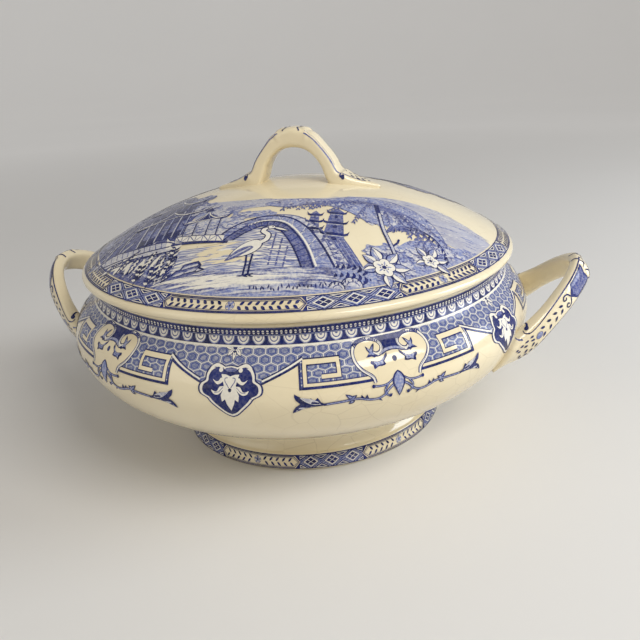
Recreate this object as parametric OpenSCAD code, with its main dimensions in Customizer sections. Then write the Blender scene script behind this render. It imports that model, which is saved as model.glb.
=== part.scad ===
// Lidded ceramic soup tureen: a round bowl on a foot ring, with two arched
// side handles, and a domed lid with a locating flange and an arched handle.
// Millimetres, +Z up. The origin is the centre of the foot's resting face,
// and the side handles stand at +X and -X.

/* [Bowl] */
// Height of the bowl's rim above the table
rim_z = 93; // [91:0.5:95]
// Outer radius of the rim
rim_r = 106.5; // [105:0.5:108]
// Inner radius of the mouth
mouth_r = 98.5; // [97:0.5:99.5]
// Largest outer radius, at the belly
belly_r = 120; // [118:0.5:122]
// Height of the belly's widest line
belly_z = 63.5; // [61:0.5:66]
// Thickness of the wall at the belly
wall = 5.2; // [4.5:0.1:6]

/* [Foot ring] */
// Height of the foot ring, up to the underside of the bowl
foot_h = 18.5; // [17:0.5:20]
// Outer radius of the foot at the table
foot_r = 72.6; // [71:0.2:75]
// Height of the printed band around the foot
foot_band = 8.6; // [7:0.2:10]
// Radius of the waist above the band
waist_r = 67.4; // [66:0.2:69]
// Inner radius of the resting face
foot_in = 65; // [63:0.5:66]

/* [Lid] */
// Radius of the dome's outer sphere
dome_r = 200; // [195:1:210]
// Height of the top of the dome above the table
dome_z = 130.7; // [129:0.5:132]
// Radius where the dome ends and the rounded lip begins
dome_edge = 110; // [109:0.5:111]
// Radius of the rounded lip's section
lip_r = 2.1; // [1.8:0.1:2.2]
// Thickness of the dome
dome_wall = 5; // [4:0.1:6]
// Gap between the lid's seat and the bowl's rim
seat_gap = 0.3; // [0.2:0.05:0.5]

/* [Locating flange] */
// Radial gap between the flange and the mouth
flange_gap = 1.5; // [1:0.1:2.5]
// Thickness of the flange
flange_t = 4; // [3:0.1:5]
// How far the flange reaches below the rim
flange_drop = 7; // [5:0.5:9]

/* [Handles] */
// Thickness of a side handle's strap on its arms
strap_t = 8; // [7:0.2:9]
// Width of a side handle's strap at its top
strap_w = 12.8; // [12:0.2:14]
// Height of the lid handle's top above the table
knob_z = 157.2; // [156:0.2:159]
// Thickness of the lid handle's strap at its top
knob_t = 10.6; // [9.5:0.1:11.5]
// Width of the lid handle's strap at its top
knob_w = 15; // [13:0.5:17]
// Half of the length of the lid handle, tip to middle
knob_reach = 43; // [41:0.5:44]

/* [Hidden] */

glaze = [0.93, 0.90, 0.80];
cobalt = [0.23, 0.31, 0.60];

// Steps on each span of a smooth curve, and sides of a handle's section
curve_steps = 5;
strap_steps = 4;
strap_sides = 16;
// How square a strap's section is: 1 is an ellipse, less is squarer
side_corner = 0.65;
knob_corner = 0.5;

seat_z = rim_z + seat_gap;
dome_centre = dome_z - dome_r;
flange_out = mouth_r - flange_gap;
flange_in = flange_out - flange_t;

// One point on the span from b to c, a share t along it
function on_span(a, b, c, d, t) =
    0.5 * (2 * b + (c - a) * t + (2 * a - 5 * b + 4 * c - d) * pow(t, 2)
    + (3 * b - a - 3 * c + d) * pow(t, 3));

// A smooth curve through every point of p, in any number of coordinates
function smooth(p, steps) =
    let (last = len(p) - 1)
    let (q = concat([2 * p[0] - p[1]], p, [2 * p[last] - p[last - 1]]))
    concat(
        [for (i = [0:last - 1], k = [0:steps - 1])
            on_span(q[i], q[i + 1], q[i + 2], q[i + 3], k / steps)],
        [p[last]]
    );

// An arc of radius r about c, from angle a to angle b
function arc(c, r, a, b, n) =
    [for (i = [0:n]) c + r * [cos(a + (b - a) * i / n), sin(a + (b - a) * i / n)]];

// Height of a sphere of radius r about the dome's centre, at distance x out
function dome_height(x, r) = dome_centre + sqrt(pow(r, 2) - pow(x, 2));

// The dome's section line between two distances from the axis
function dome_line(from, to, r, n) =
    [for (i = [0:n]) let (x = from + (to - from) * i / n) [x, dome_height(x, r)]];

function unit(v) = v / norm(v);
function reversed(p) = [for (i = [len(p) - 1:-1:0]) p[i]];

// Bowl, outside, from the foot joint to the rim
bowl_outside = smooth([
    [waist_r, foot_h],
    [80, 24.8],
    [94, 31.2],
    [106.5, 40.3],
    [115.7, 51],
    [belly_r, belly_z],
    [116.2, 75],
    [108.6, 82],
    [106, 87.5],
    [rim_r, rim_z - 2]
], curve_steps);

// Bowl, inside, from the mouth's collar down to the middle of the floor
bowl_inside = smooth([
    [mouth_r, 84],
    [101.5, 79.5],
    [110.5, 73],
    [belly_r - wall, belly_z],
    [110.6, 53.5],
    [101, 44],
    [88, 36.4],
    [70, 30.2],
    [40, 26.2],
    [0, 25]
], curve_steps);

module bowl_body() {
    color(cobalt)
        rotate_extrude($fn = 160)
            polygon(concat(
                [[0, foot_h]],
                bowl_outside,
                arc([rim_r - 2, rim_z - 2], 2, 0, 90, 4),
                arc([mouth_r + 1.5, rim_z - 1.5], 1.5, 90, 180, 4),
                bowl_inside
            ));
}

module foot_ring() {
    cavetto = smooth([
        [foot_r - 1.2, foot_band],
        [foot_r - 2.8, foot_band + 1],
        [waist_r + 0.6, foot_band + 4.4],
        [waist_r, foot_h]
    ], curve_steps);
    color(glaze)
        rotate_extrude($fn = 160)
            polygon(concat(
                [[foot_in, 0]],
                arc([foot_r - 1.2, 1.2], 1.2, -90, 0, 4),
                cavetto,
                [[61, foot_h], [63.5, 1.5]]
            ));
}

// A strap swept through stations. A station is its middle, the way that its
// outer face looks, its width and its thickness.
module strap(stations, corner) {
    s = smooth(stations, strap_steps);
    n = len(s);
    middle = [for (v = s) [v[0], v[1], v[2]]];
    way = [for (i = [0:n - 1]) unit(middle[min(i + 1, n - 1)] - middle[max(i - 1, 0)])];
    side = [for (i = [0:n - 1]) unit(cross(way[i], [s[i][3], s[i][4], s[i][5]]))];
    out = [for (i = [0:n - 1]) cross(side[i], way[i])];
    rings = [for (i = [0:n - 1], k = [0:strap_sides - 1])
        let (a = 360 * (k + 0.5) / strap_sides)
        let (u = sign(cos(a)) * pow(abs(cos(a)), corner))
        let (v = sign(sin(a)) * pow(abs(sin(a)), corner))
        middle[i] + side[i] * u * s[i][6] / 2 + out[i] * v * s[i][7] / 2];
    walls = [for (i = [0:n - 2], k = [0:strap_sides - 1])
        let (j = (k + 1) % strap_sides)
        [i * strap_sides + k, (i + 1) * strap_sides + k,
         (i + 1) * strap_sides + j, i * strap_sides + j]];
    ends = [
        [for (k = [0:strap_sides - 1]) k],
        [for (k = [strap_sides - 1:-1:0]) (n - 1) * strap_sides + k]
    ];
    polyhedron(rings, concat(walls, ends));
}

// Side handle: an arch on two feet, leaning out from the shoulder at 40
// degrees. Its feet spread into pointed tails that lie on the belly.
side_arm = [
    [143.6, 8, 83.2, 0.80, 0.30, 0.50, strap_w - 0.2, strap_t - 0.8],
    [140.2, 16, 80, 0.76, 0.54, 0.34, strap_w - 0.4, strap_t - 0.6],
    [134.8, 24, 75, 0.72, 0.64, 0.24, strap_w - 0.6, strap_t],
    [127.4, 31.4, 68, 0.76, 0.62, 0.15, strap_w - 0.4, strap_t],
    [118.2, 38, 60, 0.82, 0.56, 0, strap_w + 2, strap_t + 0.4],
    [110.6, 42, 54.6, 0.88, 0.42, -0.22, strap_w + 3.4, strap_t],
    [106, 45.4, 50.4, 0.80, 0.38, -0.46, strap_w - 5, 5],
    [101.8, 47.6, 46.4, 0.72, 0.36, -0.58, 2, 2.4]
];
side_top = [[145, 0, 84.4, 0.81, 0, 0.59, strap_w, strap_t - 0.8]];
flip_y = [1, -1, 1, 1, -1, 1, 1, 1];

function mirrored(p, flip) = [for (v = p) [for (k = [0:7]) v[k] * flip[k]]];

module handle_right() {
    color(glaze)
        strap(concat(reversed(mirrored(side_arm, flip_y)), side_top, side_arm), side_corner);
}

module handle_left() {
    rotate([0, 0, 180]) handle_right();
}

module lid_dome() {
    lip_c = [dome_edge - 0.6, seat_z + lip_r];
    color(cobalt)
        rotate_extrude($fn = 160)
            polygon(concat(
                [[0, dome_z]],
                dome_line(10, dome_edge - 1.2, dome_r, 20),
                arc(lip_c, lip_r, 60, -90, 8),
                [[flange_out, seat_z]],
                dome_line(flange_out, 0, dome_r - dome_wall, 20)
            ));
}

module lid_flange() {
    under = dome_r - dome_wall;
    color(glaze)
        rotate_extrude($fn = 160)
            polygon(concat(
                arc([flange_in + 1, rim_z - flange_drop + 1], 1, 180, 270, 3),
                arc([flange_out - 1, rim_z - flange_drop + 1], 1, -90, 0, 3),
                [[flange_out, dome_height(flange_out, under)]],
                [[flange_in, dome_height(flange_in, under)]]
            ));
}

// Lid handle: an upright arch along X. Each leg turns outward at its foot and
// runs out to a point on the dome.
knob_mid = knob_z - knob_t / 2;
knob_arm = [
    [7, 0, knob_mid - 1.7, 0.34, 0, 0.94, knob_w, knob_t - 1],
    [12.6, 0, knob_mid - 6.4, 0.64, 0, 0.77, knob_w + 0.4, knob_t - 3],
    [17, 0, knob_mid - 12.2, 0.80, 0, 0.60, knob_w + 1.2, knob_t - 3],
    [19.8, 0, knob_mid - 18.4, 0.90, 0, 0.44, knob_w + 2.4, knob_t - 2.2],
    [23.2, 0, knob_mid - 22, 0.66, 0, 0.75, knob_w + 2.6, knob_t + 0.4],
    [29.6, 0, knob_mid - 24, 0.44, 0, 0.90, knob_w - 0.6, 8.4],
    [36.6, 0, knob_mid - 25.2, 0.30, 0, 0.95, knob_w - 6, 5.6],
    [knob_reach - 0.8, 0, dome_height(knob_reach, dome_r), 0.24, 0, 0.97, 4.4, 3.2],
    [knob_reach, 0, dome_height(knob_reach, dome_r) - 0.2, 0.24, 0, 0.97, 2, 1.4]
];
knob_top = [[0, 0, knob_mid, 0, 0, 1, knob_w, knob_t]];
flip_x = [-1, 1, 1, -1, 1, 1, 1, 1];

module lid_handle() {
    color(glaze)
        strap(concat(reversed(mirrored(knob_arm, flip_x)), knob_top, knob_arm), knob_corner);
}

bowl_body();
foot_ring();
handle_right();
handle_left();
lid_dome();
lid_flange();
lid_handle();
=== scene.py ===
"""Looks of a lidded ceramic soup tureen: a warm cream body under a clear glaze, with
cobalt transfer prints. Shapes are worked out in millimetres and built in metres."""

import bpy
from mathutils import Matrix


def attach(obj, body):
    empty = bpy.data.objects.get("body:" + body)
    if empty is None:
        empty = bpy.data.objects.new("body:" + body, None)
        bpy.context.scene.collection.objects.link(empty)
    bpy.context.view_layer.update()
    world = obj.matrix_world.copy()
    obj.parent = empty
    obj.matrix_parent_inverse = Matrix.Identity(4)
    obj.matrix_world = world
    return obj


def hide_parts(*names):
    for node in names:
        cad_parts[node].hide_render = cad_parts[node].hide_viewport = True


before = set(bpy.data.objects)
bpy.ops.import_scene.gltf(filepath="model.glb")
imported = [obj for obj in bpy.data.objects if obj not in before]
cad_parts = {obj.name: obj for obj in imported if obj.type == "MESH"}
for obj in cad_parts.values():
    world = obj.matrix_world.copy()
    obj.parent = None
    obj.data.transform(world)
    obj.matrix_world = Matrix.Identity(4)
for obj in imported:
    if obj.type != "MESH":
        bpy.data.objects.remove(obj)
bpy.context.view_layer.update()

import copy
import math
import random

import bpy
import numpy as np
from mathutils import Matrix, Vector
from mathutils.geometry import delaunay_2d_cdt

MM = 0.001
SKIN = 0.25          # how far the visible glaze lies inside the CAD surface
LIFT = 0.09          # height of the lowest printed layer over the glaze
LAYER = 0.02         # step between printed layers
TURNS = 288          # steps around a turned shape
TINY = 1e-6          # shorter than any real length, mm

# ---------------------------------------------------------------- sizes, mm
RIM_Z, RIM_R, MOUTH_R = 93, 106.5, 98.5
BELLY_R, BELLY_Z, WALL = 120, 63.5, 5.2
FOOT_H, FOOT_R, FOOT_BAND, WAIST_R, FOOT_IN = 18.5, 72.6, 8.6, 67.4, 65
DOME_R, DOME_Z, DOME_EDGE, LIP_R, DOME_WALL = 200, 130.7, 110, 2.1, 5
SEAT_Z, FLANGE_OUT = 93.3, 97
DOME_CENTRE = DOME_Z - DOME_R
PRINT_TURN = math.radians(6.5)   # the lid's print is turned this far about its handle


# ---------------------------------------------------------------- curves
def smooth(points, steps=5):
    """A Catmull-Rom curve through every point, in any number of coordinates."""
    p = np.array(points, float)
    q = np.vstack([2 * p[0] - p[1], p, 2 * p[-1] - p[-2]])
    t = np.arange(steps)[:, None] / steps
    spans = []
    for a, b, c, d in zip(q, q[1:], q[2:], q[3:]):
        cubic = (3 * b - a - 3 * c + d) * t ** 3
        spans.append(0.5 * (2 * b + (c - a) * t + (2 * a - 5 * b + 4 * c - d) * t ** 2 + cubic))
    return np.vstack(spans + [p[-1:]])


def ring(points, steps=5):
    """A closed Catmull-Rom curve through the points."""
    p = np.array(points, float)
    n = len(p)
    wrapped = np.vstack([p[-1:], p, p[:2]])
    return smooth(wrapped, steps)[steps:steps * (n + 1)]


def arc(cx, cy, r, a, b, n=8):
    """n + 1 points on a circle's arc, from angle a to angle b in degrees."""
    t = np.radians(np.linspace(a, b, n + 1))
    return np.stack([cx + r * np.cos(t), cy + r * np.sin(t)], 1)


def swing(x, y, along, across, turn):
    """Points given along and across the direction turn, in degrees, from x, y."""
    c, s = math.cos(math.radians(turn)), math.sin(math.radians(turn))
    return np.stack([x + c * along - s * across, y + s * along + c * across], 1)


def polar(x, y, reach, turn):
    """The point reach away from x, y in the direction turn, in degrees."""
    a = math.radians(turn)
    return np.array([x + reach * math.cos(a), y + reach * math.sin(a)])


def scaled(outline, centre, size):
    """The outline made size times as large about the centre."""
    centre = np.asarray(centre, float)
    return centre + (outline - centre) * size


def ellipse(x, y, rx, ry, turn=0, n=12):
    t = np.linspace(0, 2 * math.pi, n, endpoint=False)
    return swing(x, y, rx * np.cos(t), ry * np.sin(t), turn)


def leaf(x, y, length, width, turn, n=5):
    """A pointed leaf that starts at x, y and runs at the angle turn."""
    t = np.linspace(0, 1, n + 1)
    half = width / 2 * np.sin(math.pi * t ** 0.8)
    along = np.concatenate([t * length, t[-2:0:-1] * length])
    return swing(x, y, along, np.concatenate([half, -half[-2:0:-1]]), turn)


def dense(points, pitch):
    """The same polyline with no span longer than pitch."""
    p = np.asarray(points, float)
    out = [p[:1]]
    for a, b in zip(p, p[1:]):
        n = max(1, math.ceil(np.hypot(*(b - a)) / pitch))
        out.append(a + (b - a) * np.arange(1, n + 1)[:, None] / n)
    return np.vstack(out)


def inside(points, outline):
    """Which of the points lie inside the outline."""
    x, y = points[:, 0], points[:, 1]
    hit = np.zeros(len(points), bool)
    for (x0, y0), (x1, y1) in zip(outline, np.roll(outline, -1, axis=0)):
        cross = (y0 > y) != (y1 > y)
        with np.errstate(divide="ignore", invalid="ignore"):
            hit ^= cross & (x < (x1 - x0) * (y - y0) / (y1 - y0) + x0)
    return hit


# ---------------------------------------------------------------- materials
CREAM, CREAM_WARM = (0.81, 0.724, 0.52, 1), (0.76, 0.652, 0.432, 1)
COBALT, COBALT_DEEP = (0.017, 0.027, 0.15, 1), (0.005, 0.008, 0.042, 1)
COBALT_MID, COBALT_LIGHT = (0.042, 0.066, 0.27, 1), (0.095, 0.15, 0.42, 1)
COBALT_GREY = (0.10, 0.13, 0.27, 1)
RESERVE = (0.80, 0.765, 0.67, 1)
GLAZE_INDEX, INK_INDEX = 1.52, 1.29     # refraction over the cream body and over the prints
NET_R = 113          # mean radius of the bowl where the honeycomb is printed, mm


class Nodes:
    """Short calls for the nodes of one material."""

    def __init__(self, name):
        self.material = bpy.data.materials.new(name)
        self.material.use_nodes = True
        self.tree = self.material.node_tree
        self.shader = self.tree.nodes["Principled BSDF"]
        self.coords = self.tree.nodes.new("ShaderNodeTexCoord").outputs["Object"]

    def plug(self, socket, value):
        if isinstance(value, bpy.types.NodeSocket):
            self.tree.links.new(value, socket)
        else:
            socket.default_value = value

    def maths(self, operation, a, b=0.0, c=0.0):
        node = self.tree.nodes.new("ShaderNodeMath")
        node.operation = operation
        for socket, value in zip(node.inputs, (a, b, c)):
            self.plug(socket, value)
        return node.outputs[0]

    def times(self, a, b):
        return self.maths("MULTIPLY", a, b)

    def plus(self, a, b):
        return self.maths("ADD", a, b)

    def vector(self, operation, a, b=(0, 0, 0)):
        node = self.tree.nodes.new("ShaderNodeVectorMath")
        node.operation = operation
        self.plug(node.inputs[0], a)
        self.plug(node.inputs[1], b)
        return node.outputs["Value" if operation in ("DOT_PRODUCT", "LENGTH") else "Vector"]

    def noise(self, scale, detail=3.0, rough=0.5):
        node = self.tree.nodes.new("ShaderNodeTexNoise")
        self.plug(node.inputs["Vector"], self.coords)
        node.inputs["Scale"].default_value = scale
        node.inputs["Detail"].default_value = detail
        node.inputs["Roughness"].default_value = rough
        return node.outputs["Fac"]

    def cells(self, scale, feature="F1", at=None):
        node = self.tree.nodes.new("ShaderNodeTexVoronoi")
        node.feature = feature
        self.plug(node.inputs["Vector"], at or self.coords)
        node.inputs["Scale"].default_value = scale
        return node.outputs["Distance"]

    def spread(self, value, low, high, to_low=0.0, to_high=1.0):
        """value's range low to high, spread over to_low to to_high and held there."""
        node = self.tree.nodes.new("ShaderNodeMapRange")
        self.plug(node.inputs[0], value)
        for i, v in enumerate((low, high, to_low, to_high), 1):
            node.inputs[i].default_value = v
        return node.outputs[0]

    def mix(self, factor, a, b):
        node = self.tree.nodes.new("ShaderNodeMix")
        node.data_type = "RGBA"
        self.plug(node.inputs[0], factor)
        self.plug(node.inputs[6], a)
        self.plug(node.inputs[7], b)
        return node.outputs[2]

    def split(self, vector):
        node = self.tree.nodes.new("ShaderNodeSeparateXYZ")
        self.plug(node.inputs[0], vector)
        return node.outputs

    def join(self, x=0.0, y=0.0, z=0.0):
        node = self.tree.nodes.new("ShaderNodeCombineXYZ")
        for socket, value in zip(node.inputs, (x, y, z)):
            self.plug(socket, value)
        return node.outputs[0]

    def glaze(self, colour, rough=(0.07, 0.15), ripple=0.05, index=GLAZE_INDEX, coat=0.18):
        """A clear glossy glaze over the colour, with a faint ripple and a patchy polish."""
        self.plug(self.shader.inputs["Base Color"], colour)
        polish = self.spread(self.noise(55, 4), 0.35, 0.7, *rough)
        self.plug(self.shader.inputs["Roughness"], polish)
        self.shader.inputs["IOR"].default_value = index
        self.shader.inputs["Coat Weight"].default_value = coat
        self.shader.inputs["Coat Roughness"].default_value = 0.04
        bump = self.tree.nodes.new("ShaderNodeBump")
        bump.inputs["Strength"].default_value = ripple
        bump.inputs["Distance"].default_value = 0.002
        self.plug(bump.inputs["Height"], self.noise(70, 2))
        self.plug(self.shader.inputs["Normal"], bump.outputs[0])
        return self.material


def body_colour(n):
    """Cream ware: warm and cool patches, fine craze lines and a few dark specks."""
    patches = n.spread(n.noise(14, 3), 0.35, 0.68)
    colour = n.mix(patches, CREAM, CREAM_WARM)
    bent = n.vector("ADD", n.coords, n.join(n.times(n.noise(40), 0.012)))
    craze = n.spread(n.cells(85, "DISTANCE_TO_EDGE", bent), 0.004, 0.022, 1, 0)
    craze = n.times(craze, n.spread(n.noise(9, 2), 0.48, 0.7, 0, 0.22))
    colour = n.mix(craze, colour, (0.30, 0.20, 0.11, 1))
    specks = n.spread(n.cells(150), 0.03, 0.06, 1, 0)
    specks = n.times(specks, n.spread(n.noise(33, 1), 0.62, 0.66, 0, 0.6))
    return n.mix(specks, colour, (0.10, 0.065, 0.04, 1))


def cream_glaze(name):
    n = Nodes(name)
    return n.glaze(body_colour(n))


def under_glaze(n, paper, blue):
    """Cobalt with a share of bare paper in it, under a softer shine than the body's."""
    return n.glaze(n.mix(paper, blue, RESERVE), ripple=0.04, index=INK_INDEX, coat=0.0)


def ink(name, low, high, base=COBALT, deep=COBALT_DEEP):
    """Printed cobalt: paper shows through by low to high, in engraver's dots and streaks."""
    n = Nodes(name)
    stipple = n.spread(n.noise(900, 2, 0.6), 0.4, 0.62, low, high)
    blue = n.mix(n.spread(n.noise(120, 4, 0.6), 0.4, 0.65, 0, 0.75), base, deep)
    return under_glaze(n, stipple, blue)


def hatched(name, low, high, pitch, slant=0.0, deep=COBALT_MID, base=COBALT_LIGHT):
    """A cobalt tone engraved in fine wavy lines, pitch mm apart."""
    n = Nodes(name)
    x, y = n.split(n.coords)[:2]
    wander = n.times(n.noise(45, 3), 0.010)
    across = n.plus(n.plus(y, n.times(x, slant)), wander)
    wave = n.maths("SINE", n.times(across, 2 * math.pi / (pitch * MM)))
    tone = n.maths("MULTIPLY_ADD", n.noise(170, 4, 0.65), 3.0, -1.5)
    lines = n.spread(n.plus(wave, tone), -1.2, 1.2, low, high)
    return under_glaze(n, lines, n.mix(n.spread(n.noise(60, 3), 0.35, 0.7), deep, base))


def honeycomb(name, cell, row):
    """Hexagons in a white net around the bowl's axis, each with a dark ring inside it.
    cell is their width in mm, and row is the distance from one row to the next."""
    n = Nodes(name)
    x, y, z = n.split(n.coords)
    turn = n.maths("ARCTAN2", x, n.times(y, -1))
    count = round(2 * math.pi * NET_R / cell)
    u = n.plus(n.times(turn, count / (2 * math.pi)), 500)
    v = n.times(z, math.sqrt(3) / 2 / (row * MM))
    step = (1, math.sqrt(3), 1)
    half = (0.5, math.sqrt(3) / 2, 0)
    at = n.join(u, v)
    a = n.vector("SUBTRACT", n.vector("MODULO", at, step), half)
    b = n.vector("SUBTRACT", n.vector("MODULO", n.vector("SUBTRACT", at, half), step), half)
    nearer = n.maths("LESS_THAN", n.vector("DOT_PRODUCT", a, a), n.vector("DOT_PRODUCT", b, b))
    pick = n.tree.nodes.new("ShaderNodeMix")
    pick.data_type = "VECTOR"
    n.plug(pick.inputs[0], nearer)
    n.plug(pick.inputs[4], b)
    n.plug(pick.inputs[5], a)
    g = n.vector("ABSOLUTE", pick.outputs[1])
    slanted = n.vector("DOT_PRODUCT", g, (0.5, math.sqrt(3) / 2, 0))
    edge = n.maths("SUBTRACT", 0.5, n.maths("MAXIMUM", slanted, n.split(g)[0]))
    net = n.spread(edge, 0.03, 0.065, 0.78, 0)
    inner = n.spread(n.maths("ABSOLUTE", n.maths("SUBTRACT", edge, 0.21)), 0.02, 0.055)
    fill = n.times(inner, n.spread(n.noise(700, 2, 0.6), 0.4, 0.64, 0.06, 0.34))
    light = n.maths("MAXIMUM", net, n.times(fill, n.spread(edge, 0.08, 0.12)))
    blue = n.mix(inner, COBALT_MID, COBALT_GREY)
    return under_glaze(n, light, blue)


def table_paper():
    """Pale paper, lifted a little towards the wall so that it stays even."""
    n = Nodes("pale_floor")
    paper = n.mix(n.noise(3), (0.70, 0.69, 0.67, 1), (0.73, 0.72, 0.70, 1))
    n.plug(n.shader.inputs["Base Color"], paper)
    n.shader.inputs["Roughness"].default_value = 0.6
    n.shader.inputs["Emission Color"].default_value = (0.78, 0.77, 0.76, 1)
    glow = n.spread(n.vector("LENGTH", n.coords), 0.4, 1.6, 0, 0.24)
    n.plug(n.shader.inputs["Emission Strength"], glow)
    return n.material


TONES = {
    "dark": ink("cobalt_dark", 0.0, 0.05),
    "mid": ink("cobalt_mid", 0.04, 0.24, base=COBALT_MID, deep=COBALT),
    "soft": ink("cobalt_soft", 0.14, 0.46, base=COBALT_LIGHT, deep=COBALT_MID),
    "pale": ink("cobalt_pale", 0.46, 0.78, base=COBALT_LIGHT, deep=COBALT_MID),
    "white": ink("reserve_white", 0.92, 1.0),
    "body": cream_glaze("cream_reserve"),
    "cells": honeycomb("cobalt_honeycomb", 5.2, 2.4),
    "water": hatched("cobalt_water", 0.14, 0.82, 1.3),
    "shade": hatched("cobalt_shade", 0.0, 0.14, 0.9, 0.7, COBALT, COBALT_MID),
    "haze": hatched("cobalt_haze", 0.3, 0.72, 1.1, -0.5),
}
TONE_NAMES = list(TONES)


# ---------------------------------------------------------------- surfaces
class Profile:
    """The outside of a turned shape, as its radius at each height."""

    def __init__(self, points):
        p = np.array(points, float)
        self.z, self.r = p[:, 1], p[:, 0]
        self.slope = np.gradient(self.r, self.z)

    def place(self, u, v, lift):
        """u is twice the azimuth in degrees from the front, v the height; both read as mm."""
        azimuth = np.radians(u / 2)
        slope = np.interp(v, self.z, self.slope)
        size = np.sqrt(1 + slope ** 2)
        out = np.stack([np.sin(azimuth) / size, -np.cos(azimuth) / size, -slope / size], 1)
        r = np.interp(v, self.z, self.r)
        on = np.stack([r * np.sin(azimuth), -r * np.cos(azimuth), v], 1)
        return on + out * (lift - SKIN)[:, None], out


def place_on_dome(x, y, lift):
    """x, y are seen from above, in the print's own frame."""
    c, s = math.cos(PRINT_TURN), math.sin(PRINT_TURN)
    px, py = c * x - s * y, s * x + c * y
    height = np.sqrt(DOME_R ** 2 - px ** 2 - py ** 2)
    out = np.stack([px, py, height], 1) / DOME_R
    return out * (DOME_R - SKIN + lift)[:, None] + [0, 0, DOME_CENTRE], out


def place_on_dome_edge(u, v, lift):
    """u is twice the azimuth in degrees from the front, v the distance from the axis."""
    azimuth = np.radians(u / 2)
    return place_on_dome(v * np.sin(azimuth), -v * np.cos(azimuth), lift)


def turned(name, section):
    """A mesh turned about Z from a section line (radius, height), closed where it meets the axis."""
    rows, faces, points = [], [], []
    angles = np.linspace(0, 2 * math.pi, TURNS, endpoint=False)
    for r, z in section:
        start = len(points)
        if r < TINY:
            points.append((0, 0, z))
            rows.append([start] * TURNS)
        else:
            points += [(r * math.sin(a), -r * math.cos(a), z) for a in angles]
            rows.append(list(range(start, start + TURNS)))
    for a, b in zip(rows, rows[1:]):
        for i in range(TURNS):
            j = (i + 1) % TURNS
            face = [a[i], a[j], b[j], b[i]]
            unique = list(dict.fromkeys(face))
            if len(unique) > 2:
                faces.append(unique)
    return mesh_object(name, points, faces)


def mesh_object(name, points, faces):
    mesh = bpy.data.meshes.new(name)
    mesh.from_pydata([tuple(np.multiply(p, MM)) for p in points], [], faces)
    mesh.polygons.foreach_set("use_smooth", [True] * len(mesh.polygons))
    mesh.update()
    piece = bpy.data.objects.new(name, mesh)
    bpy.context.scene.collection.objects.link(piece)
    return piece


def inset(section, depth):
    """A section line moved inwards by depth along its own normal, its ends kept on the axis."""
    p = np.asarray(section, float)
    way = np.gradient(p, axis=0)
    way /= np.linalg.norm(way, axis=1)[:, None]
    moved = p + depth * np.stack([-way[:, 1], way[:, 0]], 1)
    moved[p[:, 0] < TINY, 0] = 0
    return np.maximum(moved, [0, -np.inf])


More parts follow.
